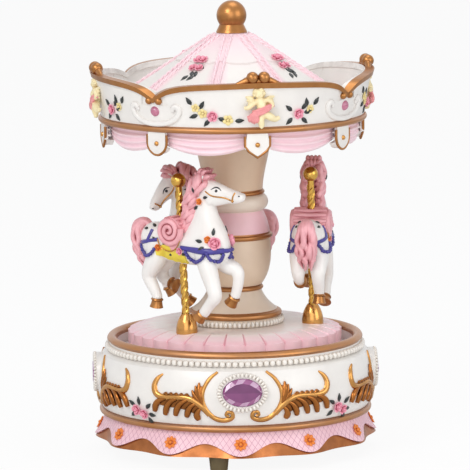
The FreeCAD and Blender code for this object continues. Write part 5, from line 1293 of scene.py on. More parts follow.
@dataclass
class Canopy:
    """Tent roof trim, garlands, scrolls and drapery of the canopy."""

    crown: Skin
    tent: Skin
    rim: Skin
    ball_ring: float
    panel_count: int = 4
    swag_count: int = 8
    scroll: Line = (
        (-8.6, 145.6), (-10.0, 146.8), (-11.5, 146.0), (-11.5, 144.2), (-9.8, 141.9), (-6.3, 140.2), (-2.1, 139.5),
        (2.1, 139.5), (6.3, 140.2), (9.8, 141.9), (11.5, 144.2), (11.5, 146.0), (10.0, 146.8), (8.6, 145.6))
    roses: Spots = ((-18.9, 143.4, 2.4), (17.8, 143.5, 2.4))
    flowers: Spots = ((-26.0, 146.6, 1.8), (-23.0, 144.4, 2.0), (-12.5, 141.8, 2.2), (23.6, 145.0, 1.8))
    leaves: Spots = (
        (-27.6, 147.8, 125), (-24.2, 146.2, 60), (-25.2, 143.8, 200), (-20.2, 142.0, 230), (-16.6, 142.6, -20),
        (-9.6, 141.3, 5), (15.0, 144.6, 140), (19.6, 145.0, 50), (15.4, 141.8, 225), (19.8, 141.6, -40),
        (20.8, 143.6, 10), (25.4, 146.4, 55), (22.0, 146.0, 100))
    roof_roses: Spots = ((22.0, 4.6, 2.4), (25.4, 5.4, 2.1))
    roof_leaves: Spots = ((26.8, 2.0, 20), (29.2, 2.8, -30), (23.4, 0.2, 60))

    def build(self) -> None:
        """Build and dress everything on the canopy."""
        self._notch_scrolls()
        self._garlands()
        self._drapery()
        self._roof_trim()
        self._pendants()
        self._rim_curls()

    def _peaks(self) -> list[float]:
        """Return the angles of the crown's peaks."""
        return spread(self.panel_count, PEAK_ANGLE)

    def _notches(self) -> list[float]:
        """Return the angles of the crown's notches."""
        return spread(self.panel_count, PEAK_ANGLE + 45)

    def _notch_scrolls(self) -> None:
        """Lay the raised white scroll under every notch of the crown."""
        scrolls = Sketch()
        for middle in self._notches():
            path, normals = self.crown.along(self.scroll, 6, middle, 0.2)
            scrolls.tube(path, (1.1, 1.3, 1.25, 1.15, 1.1, 1.15, 1.25, 1.3, 1.1), 10, 0.8, normals)
            for side in SIDES:
                point, normal = self.crown.round(middle + side * 8.8, 145.4, 0.2)
                scrolls.ball(point, (1.1, 1.1, 0.8), Seat(point, normal).turn().to_4x4())
            self._notch_filler(scrolls, middle)
        finished("notch_scrolls", scrolls, IVORY, "carousel")

    def _notch_filler(self, scrolls: Sketch, middle: float) -> None:
        """Close the wall behind the two balls of a notch, up into the gold rim.

        Args:
            scrolls: Sketch that takes the filler.
            middle: Angle of the notch, in degrees.
        """
        low, high, reach, sunk, beside, half, steps = 145.6, 148.5, 54.2, 0.9, 10, 10.5, 30
        foot = self.crown.round(middle + beside, low)[0].xy.length
        lean = (self.crown.round(middle + beside, high)[0].xy.length - foot) / (high - low)
        turns = [middle - half + 2 * half * step / steps for step in range(steps + 1)]
        tops = [self.rim.above(reach, a)[0].z - sunk for a in turns]
        faces = []
        for depth in (0.35, 2.63):
            rows = [[(a, low + (top - low) * share) for a, top in zip(turns, tops)] for share in (1.0, 0.5, 0.0)]
            faces.append([[place(foot + lean * (h - low) - depth, a, h) for a, h in row] for row in rows])
        scrolls.slab(*faces)

    def _garlands(self) -> None:
        """Hang the garlands of roses, pale flowers and dark leaves on crown and roof."""
        roses, flowers, leaves = [], [], []
        for peak in self._peaks():
            def on(shift: float, height: float) -> tuple[Vector, Vector]:
                """Return the place and normal beside the peak."""
                return self.crown.round(peak + shift, height, 0.1)

            roses += [Seat(*on(shift, height), size, 20 * shift) for shift, height, size in self.roses]
            flowers += [Seat(*on(shift, height), size, 30 * shift) for shift, height, size in self.flowers]
            leaves += [Seat(*on(shift, height), 2.0, spin) for shift, height, spin in self.leaves]
        for notch in self._notches():
            for side in SIDES:
                for reach, shift, size in self.roof_roses:
                    roses.append(Seat(*self.tent.above(reach, notch + side * shift * 0.6), size, 50 * shift))
                for reach, shift, spin in self.roof_leaves:
                    leaves.append(Seat(*self.tent.above(reach, notch + side * shift), 2.0, spin, place(1, notch, 0)))
        Scatter.piece("garland_roses", Ornaments.rose(), roses, PETAL, "carousel", "pink_resin")
        Scatter.piece("garland_flowers", Ornaments.flower(5), flowers, YELLOW_PETAL, "carousel", "ivory_resin")
        Scatter.piece("garland_leaves", Ornaments.leaf(), leaves, LEAF, "carousel", "pink_resin")

    def _drapery(self) -> None:
        """Drape swags with hanging folds in place of the plain valance."""
        cloth = Sketch()
        rows, cols, top, ring, thick = 26, 41, 136.0, 50.6, 0.9
        width = 360 / self.swag_count

        def spot(start: float, u: float, v: float, depth: float) -> Vector:
            """Find a place of one swag.

            Args:
                start: Angle at which the swag starts.
                u: Share across it.
                v: Share down it.
                depth: Depth into its cloth.

            Returns:
                The place.
            """
            belly = 4 * u * (1 - u)
            fold = 0.55 * sin(tau * (3.6 * v + 0.1)) * belly ** 0.6
            reach = ring + 1.0 * belly * sin(pi * min(v * 1.1, 1)) + fold - 0.6 * v
            return place(reach - depth, start + width * u, top - v * (4.6 + 4.6 * belly))

        for start in spread(self.swag_count, PEAK_ANGLE):
            cloth.slab(*([[spot(start, c / (cols - 1), r / (rows - 1), depth) for c in range(cols)]
                          for r in range(rows)] for depth in (0.0, thick)))
        finished("swag_drapery", cloth, DRAPE, "carousel", ("canopy_valance",), edge=70)

    def _roof_trim(self) -> None:
        """Twist a pair of cords down each rib of the tent roof."""
        cords = Sketch()
        steps, top, eaves, twist, radius, rise, pitch, gap, ease = 40, 7.2, 47.5, 0.34, 0.42, 0.1, 4.4, 1.15, 1.2
        for rib in spread(self.swag_count, PEAK_ANGLE + 22.5):
            for side in SIDES:
                found = []
                for step in range(steps):
                    reach = top + (eaves - top) * step / (steps - 1)
                    found.append(self.tent.above(reach, rib + side * degrees(gap / reach) * ease))
                for strand in range(2):
                    turned = []
                    for step, (point, normal) in enumerate(found):
                        a = tau * step / pitch + pi * strand
                        across = normal.cross(place(1, rib, -0.6)).normalized()
                        turned.append(point + normal * rise + twist * (normal * cos(a) + across * sin(a)))
                    cords.tube(turned, (radius, radius), 6)
        finished("roof_cords", cords, CORD, "carousel")

    def _pendants(self) -> None:
        """Edge every pendant shield with gold, pointed ones and round ones by turns."""
        edges = Sketch()
        reach, radius = 53.4, 0.55
        pointed = (5.0, 1, ((1, 135.0), (1, 131.0), (0.72, 129.0)), 126.4)
        rounded = (4.6, 4, ((1, 135.0), (1, 131.4), (0.8, 129.0), (0.4, 127.4)), 126.9)
        for i, angle in enumerate(spread(self.swag_count, PEAK_ANGLE)):
            half, steps, edge, tip = rounded if i % 2 else pointed
            line = [(-half * a, h) for a, h in edge] + [(0, tip)] + [(half * a, h) for a, h in edge[::-1]]
            out = place(1, angle, 0)
            edges.tube([out * reach + UP.cross(out) * p.x + UP * p.y for p in smooth_path(line, steps)],
                       (radius, radius), 8)
        finished("pendant_edges", edges, GOLD, "carousel")

    def _rim_curls(self) -> None:
        """Sweep the gilded rim up to the pair of balls at every peak."""
        curls = Sketch()
        for peak in self._peaks():
            for side in SIDES:
                path = [self.rim.above(self.ball_ring, peak + side * shift)[0] + UP * lift
                        for shift, lift in ((9.5, -0.5), (7.0, 0.0), (5.0, 0.7), (3.4, 1.5))]
                curls.tube(smooth_path(path, 5), (0.5, 1.2, 1.5, 1.4), 12)
            curls.ball(self.rim.above(self.ball_ring, peak)[0] + UP * 0.5, (1.9, 1.6, 1.5))
        finished("rim_curls", curls, GOLD, "carousel")


def copies(groups: Sequence[tuple[Mesh, Sequence[Matrix]]]) -> Mesh:
    """Join moved copies of meshes.

    Args:
        groups: Meshes, each with a matrix for every copy, whose offset is in metres.

    Returns:
        One mesh.
    """
    shape = bmesh.new()
    for data, matrices in groups:
        for matrix in matrices:
            moved = data.copy()
            moved.transform(matrix)
            shape.from_mesh(moved)
            bpy.data.meshes.remove(moved)
    out = bpy.data.meshes.new(groups[0][0].name)
    shape.to_mesh(out)
    shape.free()
    return out


@dataclass(frozen=True)
class Stand:
    """Where one horse stands: radius and angle of its pole, and height of its barrel's axis."""

    radius: float
    angle: float
    axis: float

    @classmethod
    def over_pole(cls, number: int, axis_above_seat: float) -> Stand:
        """Stand a horse over the base of its pole.

        Args:
            number: Number of the pole.
            axis_above_seat: Height of the barrel's axis above the foot of that base.

        Returns:
            The stand.
        """
        low, high = (Vector(corner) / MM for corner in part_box(f"pole_base_{number}"))
        middle = (low + high) / 2
        return cls(hypot(middle.x, middle.y), degrees(atan2(middle.x, -middle.y)),
                   low.z + axis_above_seat)

    def matrix(self) -> Matrix:
        """Return the move from the horse's own frame, with offsets in metres."""
        shift = place(self.radius, self.angle, self.axis) * MM
        return Matrix.Translation(shift) @ Matrix.Rotation(radians(self.angle), 4, "Z")


@dataclass
class Horse:
    """One galloping horse with mane, saddle, harness and flowers.

    The tables are drawn about its pole: forward, to the inner side and up from the axis of its barrel. A
    section holds a top, a bottom and a half width, a limb holds places with a radius. What lies on the head
    is drawn for a raised head and follows it when it is bowed.
    """

    neck: tuple[Section, ...] = (
        ((5.2, 16.6), (20.2, 5.6), 4.9), ((5.6, 20.0), (16.4, 12.4), 4.0), ((6.4, 24.0), (14.8, 17.0), 3.4),
        ((9.0, 26.8), (13.6, 19.6), 2.6))
    head: tuple[Section, ...] = (
        ((7.6, 25.4), (7.8, 21.4), 1.6), ((10.5, 27.3), (10.5, 18.8), 3.0), ((14.4, 27.4), (14.4, 17.2), 3.5),
        ((18.5, 26.3), (18.5, 17.8), 3.0), ((22.4, 25.0), (22.4, 18.7), 2.3), ((25.5, 24.2), (25.5, 18.8), 2.1),
        ((28.2, 23.5), (28.2, 19.5), 2.0), ((29.8, 22.5), (29.6, 20.5), 1.2))
    crest: Line = ((10.6, 27.6), (7.4, 25.8), (6.0, 21.6), (5.2, 17.0), (4.2, 13.2), (3.2, 10.4))
    long_lock: tuple[tuple[float, ...], ...] = (
        (0.6, 0.0, 0.3, 0.0, 0.4), (-1.4, 0.0, 2.4, 0.0, 1.9), (-1.4, 1.0, 3.6, 0.5, -1.6),
        (-3.8, -1.0, 3.3, -0.5, -4.6), (-1.8, 1.4, 2.7, 0.4, -7.2))
    short_lock: tuple[tuple[float, ...], ...] = (
        (1.4, 0.0, 1.6, 0.0, 0.2), (1.6, 0.0, 3.4, 0.0, -1.6), (-0.8, 1.0, 4.1, 0.3, -4.0),
        (-1.4, -0.6, 3.4, 0.0, -6.8))
    forelock: tuple[tuple[float, ...], ...] = (
        (10.2, 0.5, 1.0, 26.0, 0.0), (9.8, 0.8, 1.8, 26.8, 0.6), (10.6, 1.1, 2.3, 27.0, 1.0),
        (11.9, 1.2, 2.2, 27.0, 1.15))
    tail_count: int = 13
    lock_flat: float = 0.85
    raised_poll: tuple[float, float] = (10.5, 23.0)
    poll: tuple[float, float] = (10.5, 23.0)
    voxel: float = 0.42
    rounds: int = 4
    beside: float = 30.0
    spare_half: float = 2.0
    bow: float = 0.0
    head_share: float = 1.0
    trunk: tuple[Section, ...] = (
        ((-21.2, 4.2), (-20.8, 0.6), 2.2), ((-18.2, 8.0), (-18.6, -3.0), 5.4),
        ((-12.0, 8.8), (-12.5, -5.8), 6.8), ((-4.0, 7.6), (-4.0, -7.2), 6.7), ((1.5, 8.4), (6.0, -7.6), 6.7),
        ((3.4, 11.0), (15.0, -7.0), 6.6), ((4.4, 14.0), (21.6, -2.0), 5.9))
    legs: tuple[tuple[tuple[float, float, float, float], ...], ...] = (
        ((11.0, -2.6, -1.5, 4.2), (14.0, -3.4, -8.6, 3.8), (17.0, -4.0, -16.0, 3.0), (17.5, -4.0, -19.2, 2.8),
         (14.8, -4.0, -22.4, 2.3), (12.6, -4.0, -25.2, 2.2), (11.4, -4.0, -26.4, 2.2)),
        ((13.0, 2.6, -1.5, 4.0), (17.3, 3.4, -6.6, 3.6), (22.5, 4.0, -8.8, 2.8), (23.4, 4.0, -12.4, 2.3),
         (22.4, 4.0, -17.2, 2.1), (21.4, 4.0, -19.8, 2.1)),
        ((-12.0, -3.0, 1.0, 4.8), (-12.0, -3.8, -5.0, 4.6), (-15.4, -4.0, -11.0, 3.4),
         (-15.8, -4.0, -13.8, 2.8), (-13.6, -4.0, -17.8, 2.4), (-12.0, -4.0, -20.8, 2.1),
         (-11.9, -4.0, -22.2, 2.1)),
        ((-11.2, 3.0, 0.0, 4.6), (-12.8, 3.8, -6.2, 4.2), (-16.0, 4.0, -11.2, 3.0), (-15.0, 4.0, -14.8, 2.3),
         (-12.3, 4.0, -16.2, 2.0), (-11.0, 4.0, -16.6, 2.0)))
    toes: Spots = (
        (9.2, -4.0, -28.6), (19.2, 4.0, -22.8), (-12.4, -4.0, -25.6), (-8.2, 4.0, -17.4))
    saddle_middle: tuple[float, float] = (-2.9, 6.6)
    breast_band: Line = ((2.6, 0.2), (9.6, -0.4), (15.2, -0.6), (19.0, -0.4), (21.0, -0.2))
    breast_loops: tuple[Line, ...] = (
        ((5.0, -1.4), (6.6, -4.0), (9.6, -5.2), (12.6, -4.2), (14.8, -1.4)),
        ((15.4, -1.4), (16.4, -3.6), (18.0, -4.6), (19.6, -3.4), (20.8, -1.2)))
    croup_band: Line = ((-19.4, 0.4), (-14.6, 1.5), (-9.0, 2.6))
    croup_strap: Line = ((-14.2, 1.6), (-13.2, 3.9), (-12.6, 6.2))
    croup_loop: Line = ((-18.9, -0.4), (-17.0, -2.8), (-14.2, -4.2), (-11.4, -3.2), (-9.8, -0.6))
    cloth_top: Line = ((-9.8, -1.2), (-4.6, 1.2), (0.0, -0.6), (4.2, -3.0))
    cloth_hem: Line = ((-9.4, -3.6), (-4.4, -5.2), (0.0, -6.0), (4.4, -6.2))
    saddle_edge: Line = ((-8.8, 2.8), (-6.8, -0.4), (-2.2, -1.6), (1.6, 0.6), (2.8, 4.0))
    bridle: tuple[Line, ...] = (
        ((12.8, 23.3), (16.2, 21.6), (21.2, 21.3), (24.4, 20.4)), ((26.2, 23.4), (25.6, 21.8), (25.0, 19.6)))
    bit: tuple[float, float] = (25.2, 20.2)
    lid: Line = ((15.4, 24.1), (17.0, 25.1), (18.6, 24.9), (20.0, 23.9))
    eye: tuple[float, float] = (17.8, 23.8)
    nostril: tuple[float, float] = (28.6, 22.3)
    roses: Spots = ((18.2, 2.8, 2.9), (2.2, -1.2, 1.7))
    orange_buds: Spots = ((15.6, 4.2, 1.7), (10.2, 19.0, 1.5), (-8.8, -0.6, 1.6))
    leaf_spots: tuple[tuple[float, float, float, float], ...] = (
        (13.0, 3.2, 170, 1.7), (14.0, 1.2, 215, 1.6), (17.2, 5.8, 80, 1.7), (16.4, 0.4, -50, 1.5),
        (19.6, 0.4, -60, 1.5), (8.2, 22.6, 100, 1.4), (11.6, 20.6, 10, 1.4), (9.2, 17.2, 220, 1.4),
        (-9.8, 1.9, 140, 1.4), (-6.6, 0.6, 30, 1.5), (-1.4, -2.6, 200, 1.5), (2.4, -3.0, 20, 1.5),
        (-12.0, 7.2, 120, 1.5), (-15.4, 6.4, 170, 1.4))

    @classmethod
    def bowed(cls) -> Horse:
        """Choose the tables of the horse that bows its head.

        Returns:
            The horse.
        """
        return cls(
            neck=(((6.4, 18.2), (20.2, 5.6), 4.7), ((9.0, 22.2), (19.0, 11.2), 4.0),
                  ((12.0, 25.2), (18.4, 15.6), 3.3), ((15.2, 26.8), (18.2, 19.2), 2.4)),
            head=(((13.6, 26.4), (15.6, 22.2), 1.6), ((16.2, 27.6), (16.4, 19.4), 2.8),
                  ((20.6, 26.4), (17.6, 17.2), 3.2), ((23.8, 22.4), (19.6, 15.8), 2.6),
                  ((26.0, 18.4), (22.0, 14.0), 2.0), ((27.6, 15.0), (23.6, 12.0), 2.0),
                  ((28.0, 12.8), (25.4, 11.2), 1.2)),
            crest=((15.6, 28.2), (11.6, 26.6), (8.2, 22.4), (5.8, 17.4), (4.2, 13.2), (3.2, 10.4)),
            poll=(16.3, 23.5), bow=43.5, head_share=0.84)

    def carve(self) -> Mesh:
        """Carve the body and keep its skin for what sits on it.

        Returns:
            The mesh of the body.
        """
        body = carved(self._body(), self.voxel, self.rounds)
        self.skin = Skin.of_mesh(body)
        locks = self.hair()
        size = len(body.vertices)
        self.coat = Skin([v.co / MM for v in body.vertices] + locks.points,
                         [tuple(p.vertices) for p in body.polygons]
                         + [tuple(i + size for i in face) for face in locks.faces])
        return body

    def _nod(self, forward: float, height: float) -> tuple[float, float]:
        """Find where a spot of the raised head lies on this horse's head.

        Args:
            forward: Distance ahead of the pole.
            height: Height above the axis of the barrel.

        Returns:
            Both on this horse.
        """
        ahead, up = forward - self.raised_poll[0], height - self.raised_poll[1]
        turn = radians(self.bow)
        return (self.poll[0] + self.head_share * (ahead * cos(turn) + up * sin(turn)),
                self.poll[1] + self.head_share * (up * cos(turn) - ahead * sin(turn)))

    def _head_point(self, forward: float, side: float, height: float) -> Vector:
        """Return the place of a spot of the raised head on this horse's head."""
        ahead, up = self._nod(forward, height)
        return Vector((ahead, side, up))

    def _on(self, forward: float, height: float, side: int, rise: float = 0.0,
            hair: bool = False) -> tuple[Vector, Vector]:
        """Return the place on the horse's flank, seen from one side, and its normal.

        Args:
            forward: Distance ahead of the pole.
            height: Height above the axis of the barrel.
            side: Flank, -1 outside and 1 inside.
            rise: Height above the skin.
            hair: Whether the locks cover the skin.

        Returns:
            The place and the outward normal.
        """
        skin = self.coat if hair else self.skin
        found = skin.cast(Vector((forward, self.beside * side, height)), Vector((0, -side, 0)))
        point, normal = found if found else (Vector((forward, self.spare_half * side, height)), Vector((0, side, 0)))
        return point + normal * rise, normal

    def _run(self, line: Sequence[Point], side: int, rise: float,
             steps: int = 5) -> tuple[list[Vector], list[Vector]]:
        """Draw an evened line on the flank.

        Args:
            line: Its forward places and heights.
            side: Flank, -1 outside and 1 inside.
            rise: Height above the skin.
            steps: Number of pieces between two of its points.

        Returns:
            Its places and its normals.
        """
        spots, normals = apart(self._on(p.x, p.y, side, rise) for p in smooth_path(line, steps))
        for _ in range(2):
            spots = [spots[0], *((a + 2 * b + c) / 4 for a, b, c in zip(spots, spots[1:], spots[2:])), spots[-1]]
        return spots, normals

    @staticmethod
    def _sections(rows: Sequence[Section], sketch: Sketch) -> None:
        """Add a form through oval sections.

        Args:
            rows: The sections.
            sketch: Sketch that takes it.
        """
        tops = smooth_path([(r[0][0], 0, r[0][1]) for r in rows], 4)
        lows = smooth_path([(r[1][0], 0, r[1][1]) for r in rows], 4)
        wide = smooth_path([(r[2], 0, 0) for r in rows], 4)
        points = []
        sides = 24
        for top, low, half in zip(tops, lows, wide):
            for k in range(sides):
                a = tau * k / sides
                points.append((top + low) / 2 + (top - low) / 2 * cos(a) + Vector((0, half.x * sin(a), 0)))
        walls = [(a, d, c, b) for a, b, c, d in quads(len(tops), sides)]
        sketch.add(points, walls + [list(range(sides)), list(range(len(points) - sides, len(points)))[::-1]])

    def _body(self) -> Sketch:
        """Overlap the forms of trunk, neck, head, ears and legs.

        Returns:
            Their sketch.
        """
        body = Sketch()
        self._sections(self.trunk + self.neck, body)
        self._sections(self.head, body)
        for leg in self.legs:
            body.tube(smooth_path([p[:3] for p in leg], 5), [p[3] for p in leg], 16)
        for side in SIDES:
            body.ball((-13.2, 3.4 * side, 0.6), (6.0, 3.9, 7.0))
            body.ball((12.6, 3.2 * side, -1.4), (5.6, 3.8, 6.2))
            body.ball(self._head_point(13.6, 2.0 * side, 20.4), (2.9, 1.7, 2.8))
            body.ball(self._head_point(28.4, 1.3 * side, 22.2), (1.0, 0.9, 1.0))
            ear = ((11.4, 1.6, 26.6), (11.0, 2.0, 29.0), (10.8, 2.1, 31.4))
            body.tube([self._head_point(a, w * side, h) for a, w, h in ear], (1.2, 1.3, 0.25), 10)
        return body

    def hooves(self) -> Sketch:
        """Shape the four flared hooves.

        Returns:
            Their sketch.
        """
        hooves = Sketch()
        for leg, toe in zip(self.legs, self.toes):
            start, end = Vector(leg[-1][:3]), Vector(toe)
            down = (end - start).normalized()
            path = [start - down * 0.3, start + down * 0.3, start + down * 0.7, start + (end - start) * 0.75, end,
                    end + down * 0.25]
            hooves.tube(path, (2.2, 2.6, 2.1, 2.5, 2.8, 2.2), 16)
        return hooves

    def hair(self) -> Sketch:
        """Comb the locks of mane, forelock and tail.

        Returns:
            Their sketch.
        """
        hair = Sketch()
        line = smooth_path([(a, 0, h) for a, h in self.crest], 4)
        for i, root in enumerate(line[::2]):
            wave = sin(2.1 * i)
            width = 3.1 - 0.5 * i / 6
            for side in SIDES:
                for lock, radii in ((self.long_lock, (0.9, width * 0.5, width * 0.6, width * 0.45, 0.2)),
                                    (self.short_lock, (0.7, 1.25, 1.1, 0.2))):
                    path = [root + Vector((ahead + sway * wave, (out + swing * wave) * side, drop))
                            for ahead, sway, out, swing, drop in lock]
                    hair.tube(smooth_path(path, 6), radii, 10, self.lock_flat)
        for side in (-1.0, -0.35, 0.35, 1.0):
            for lean, tall in ((-2.6, 3.0), (-1.0, 4.4), (0.6, 4.0), (2.0, 2.2)):
                path = [self._head_point(ahead + sway * lean, out * side, height + share * tall)
                        for ahead, sway, out, height, share in self.forelock]
                hair.tube(smooth_path(path, 6), (1.2, 1.5, 1.1, 0.3), 10, self.lock_flat)
        for i in range(self.tail_count):
            a = tau * i / self.tail_count
            out, across = cos(a), sin(a)
            path = [(-16.8, 0.3 * across, 6.2), (-20.2 - 0.6 * out, 1.0 * across, 8.4 + 0.5 * out),
                    (-23.2 - 1.6 * out, 2.3 * across, 6.0 + 1.0 * out),
                    (-23.0 - 2.2 * out - 1.2 * sin(2 * i), 3.1 * across + 0.8 * cos(3 * i), 1.4),
                    (-22.0 - 1.8 * out + 1.3 * sin(2 * i), 2.9 * across - 0.9 * cos(3 * i), -3.0),
                    (-20.8 - 1.6 * out - 1.1 * sin(2 * i), 2.4 * across + 0.9 * cos(3 * i), -6.8),
                    (-18.6 - 1.8 * out, 1.9 * across, -9.6 + 1.6 * sin(5 * i))]
            hair.tube(smooth_path(path, 5), (1.0, 1.4, 1.6, 1.35, 1.45, 1.1, 0.25), 10, self.lock_flat)
        return hair

    def _sheet(self, rows: Sequence[Sequence[tuple[float, float, float]]], thick: float, side: int,
               sketch: Sketch) -> None:
        """Lay a sheet on one flank.

        Args:
            rows: Forward places, heights and rises of its grid.
            thick: Its thickness.
            side: Flank that it lies on.
            sketch: Sketch that takes it.
        """
        front, back = [], []
        for row in rows:
            found = [self._on(forward, height, side, rise) for forward, height, rise in row][::side]
            front.append([point for point, _ in found])
            back.append([point - normal * thick for point, normal in found])
        sketch.slab(front, back)

    def saddle(self) -> Sketch:
        """Shape the rolled saddle with its spiral ends and hanging flaps.

        Returns:
            Its sketch.
        """
        saddle = Sketch()
        steps, turns = 60, 2.4
        centre = Vector((self.saddle_middle[0], 0, self.saddle_middle[1]))
        roll = [centre + Vector((0, y, 0)) for y in (-7.2, -7.0, -4, 0, 4, 7.0, 7.2)]
        saddle.tube(roll, (4.6, 5.5, 5.2, 4.9, 5.2, 5.5, 4.6), 32)
        for rib in range(9):
            a = radians(-20 + 27 * rib)
            crest = [centre + Vector((r * cos(a), y, r * sin(a)))
                     for y, r in ((-6.8, 5.2), (-4, 5.1), (0, 4.8), (4, 5.1), (6.8, 5.2))]
            saddle.tube(smooth_path(crest, 4), (0.7, 1.0, 1.05, 1.0, 0.7), 8)
        for side in SIDES:
            spiral = []
            for step in range(steps):
                t = step / (steps - 1)
                a = -2.3 + tau * turns * t
                reach = 0.4 + 5.3 * t
                spiral.append(centre + Vector((reach * cos(a), side * (7.5 - 0.5 * t), reach * sin(a))))
            saddle.tube(spiral, (0.9, 1.15, 1.25, 1.3), 8)
            rows = []
            for i in range(9):
                v = i / 8
                rows.append([(self.saddle_middle[0] - 4.4 + 10.4 * u + 2.6 * v * (1 - 2 * u) + v,
                              5.0 - v * (3.0 + 3.6 * sin(pi * u)), 0.9 - 0.3 * v)
                             for u in (k / 8 for k in range(9))])
            self._sheet(rows, 0.9, side, saddle)
        return saddle

    def cloth(self) -> Sketch:
        """Lay the saddle cloth on both flanks.

        Returns:
            Its sketch.
        """
        cloth = Sketch()
        top, hem = smooth_path(self.cloth_top, 6), smooth_path(self.cloth_hem, 6)
        for side in SIDES:
            rows = []
            for i in range(8):
                v = i / 7
                spots = [high.lerp(low, v) for high, low in zip(top, hem)]
                rows.append([(p.x, p.y, 0.5 + 0.16 * sin(1.5 * k) * v) for k, p in enumerate(spots)])
            self._sheet(rows, 0.8, side, cloth)
        return cloth

    def harness(self) -> Sketch:
        """Lay the breast and croup bands with their beaded loops.

        Returns:
            Their sketch.
        """
        harness = Sketch()
        for side in SIDES:
            for line, half in ((self.breast_band, (0.9, 1.25, 1.3, 1.25, 1.1)), (self.croup_band, (0.8, 0.8)),
                               (self.croup_strap, (0.7, 0.7))):
                path, normals = self._run(line, side, 0.25)
                harness.tube(path, half, 10, 0.5, normals)
            for line in (*self.breast_loops, self.croup_loop):
                path, normals = self._run(line, side, 0.25, 8)
                harness.tube(path, (0.5, 0.62, 0.5), 8, 0.7, normals)
                for point, normal in zip(path[::3], normals[::3]):
                    harness.ball(point + normal * 0.25, (0.8, 0.8, 0.8), rings=6, sides=8)
        ends = [self._on(*self.breast_band[-1], side, 0.25)[0] for side in SIDES]
        front = self.skin.cast(Vector((60, 0, self.breast_band[-1][1])), Vector((-1, 0, 0)))
        if front:
            arc = [ends[0], (ends[0] + front[0]) / 2 + Vector((0.9, 0, 0)), front[0] + Vector((0.3, 0, 0)),
                   (ends[1] + front[0]) / 2 + Vector((0.9, 0, 0)), ends[1]]
            harness.tube(smooth_path(arc, 5), (1.1, 1.1), 10, 0.6)
        return harness

    def reins(self) -> Sketch:
        """Lay the gold bridle and the gold edge under the saddle.

        Returns:
            Their sketch.
        """
        reins = Sketch()
        for side in SIDES:
            for line in self.bridle:
                path, normals = self._run([self._nod(*p) for p in line], side, 0.12)
                reins.tube(path, (0.3, 0.32), 8, 0.9, normals)
            point, _ = self._on(*self._nod(*self.bit), side, 0.2)
            reins.ball(point, (0.6, 0.6, 0.6))
            path, normals = self._run(self.saddle_edge, side, 0.9)
            reins.tube(path, (0.26, 0.26), 6, 1.0, normals)
        return reins

    def eyes(self) -> Sketch:
        """Set the dark eyes, lids and nostrils.

        Returns:
            Their sketch.
        """
        eyes = Sketch()
        for side in SIDES:
            for spot, half in ((self.eye, (0.62, 0.62, 0.4)), (self.nostril, (0.4, 0.3, 0.2))):
                point, normal = self._on(*self._nod(*spot), side, 0.0)
                eyes.ball(point, half, Seat(point, normal).turn().to_4x4())
            path, normals = self._run([self._nod(*p) for p in self.lid], side, 0.08)
            eyes.tube(path, (0.1, 0.3, 0.28, 0.1), 8, 0.8, normals)
        return eyes

    def blooms(self, spots: Sequence[tuple[float, float, float]]) -> list[Seat]:
        """Return the seats of flowers on both flanks."""
        return [Seat(*self._on(a, h, side, 0.2, True), size, 40 * a) for a, h, size in spots for side in SIDES]

    def leaves(self) -> list[Seat]:
        """Seat the leaves on the flanks and on the locks of the mane.

        Returns:
            Their seats.
        """
        seats = []
        for a, h, spin, size in self.leaf_spots:
            way = radians(spin)
            seats += [Seat(*self._on(a, h, side, 0.2, True), size, 0, Vector((cos(way), 0, sin(way))))
                      for side in SIDES]
        return seats


@dataclass
class Herd:
    """The three horses on their poles: two with raised heads and one that bows."""

    axis_above_seat: float = 36.2
    bowed_drop: float = 4.0

    def build(self) -> None:
        """Carve, dress and place the three horses."""
        bowed_axis = self.axis_above_seat - self.bowed_drop
        groups = ((Horse(), {1: self.axis_above_seat, 2: self.axis_above_seat}), (Horse.bowed(), {3: bowed_axis}))
        herd = []
        for horse, axes in groups:
            body = horse.carve()
            matrices = []
            for number, axis in axes.items():
                matrices.append(Stand.over_pole(number, axis).matrix())
                finished(f"carved_horse_{number}", copies([(body, matrices[-1:])]), HORSE_WHITE, "carousel",
                         (f"horse_{number}",), edge=80)
            herd.append((horse, matrices))
        for name, draw, finish, slot, edge in (
                ("horse_hooves", Horse.hooves, GOLD, "gilt", 50), ("horse_manes", Horse.hair, ROSE, "pink_resin", 80),
                ("horse_saddles", Horse.saddle, ROSE, "pink_resin", 60),
                ("saddle_cloths", Horse.cloth, BLANKET, "pink_resin", 80),
                ("horse_harness", Horse.harness, INDIGO, "pink_resin", 80),
                ("horse_bridles", Horse.reins, BRIGHT_GOLD, "gilt", 80),
                ("horse_eyes", Horse.eyes, INK, "pink_resin", 80)):
            data = copies([(draw(horse).mesh(name), matrices) for horse, matrices in herd])
            finished(name, data, finish, "carousel", edge=edge)
        for name, seats, ornament, finish in (
                ("horse_roses", lambda horse: horse.blooms(horse.roses), Ornaments.rose(), PETAL),
                ("horse_buds", lambda horse: horse.blooms(horse.orange_buds), Ornaments.rose(), ORANGE),
                ("horse_leaves", Horse.leaves, Ornaments.leaf(), LEAF)):
            data = copies([(Scatter.mesh(ornament, seats(horse), finish), matrices) for horse, matrices in herd])
            finished(name, data, finish, "carousel")


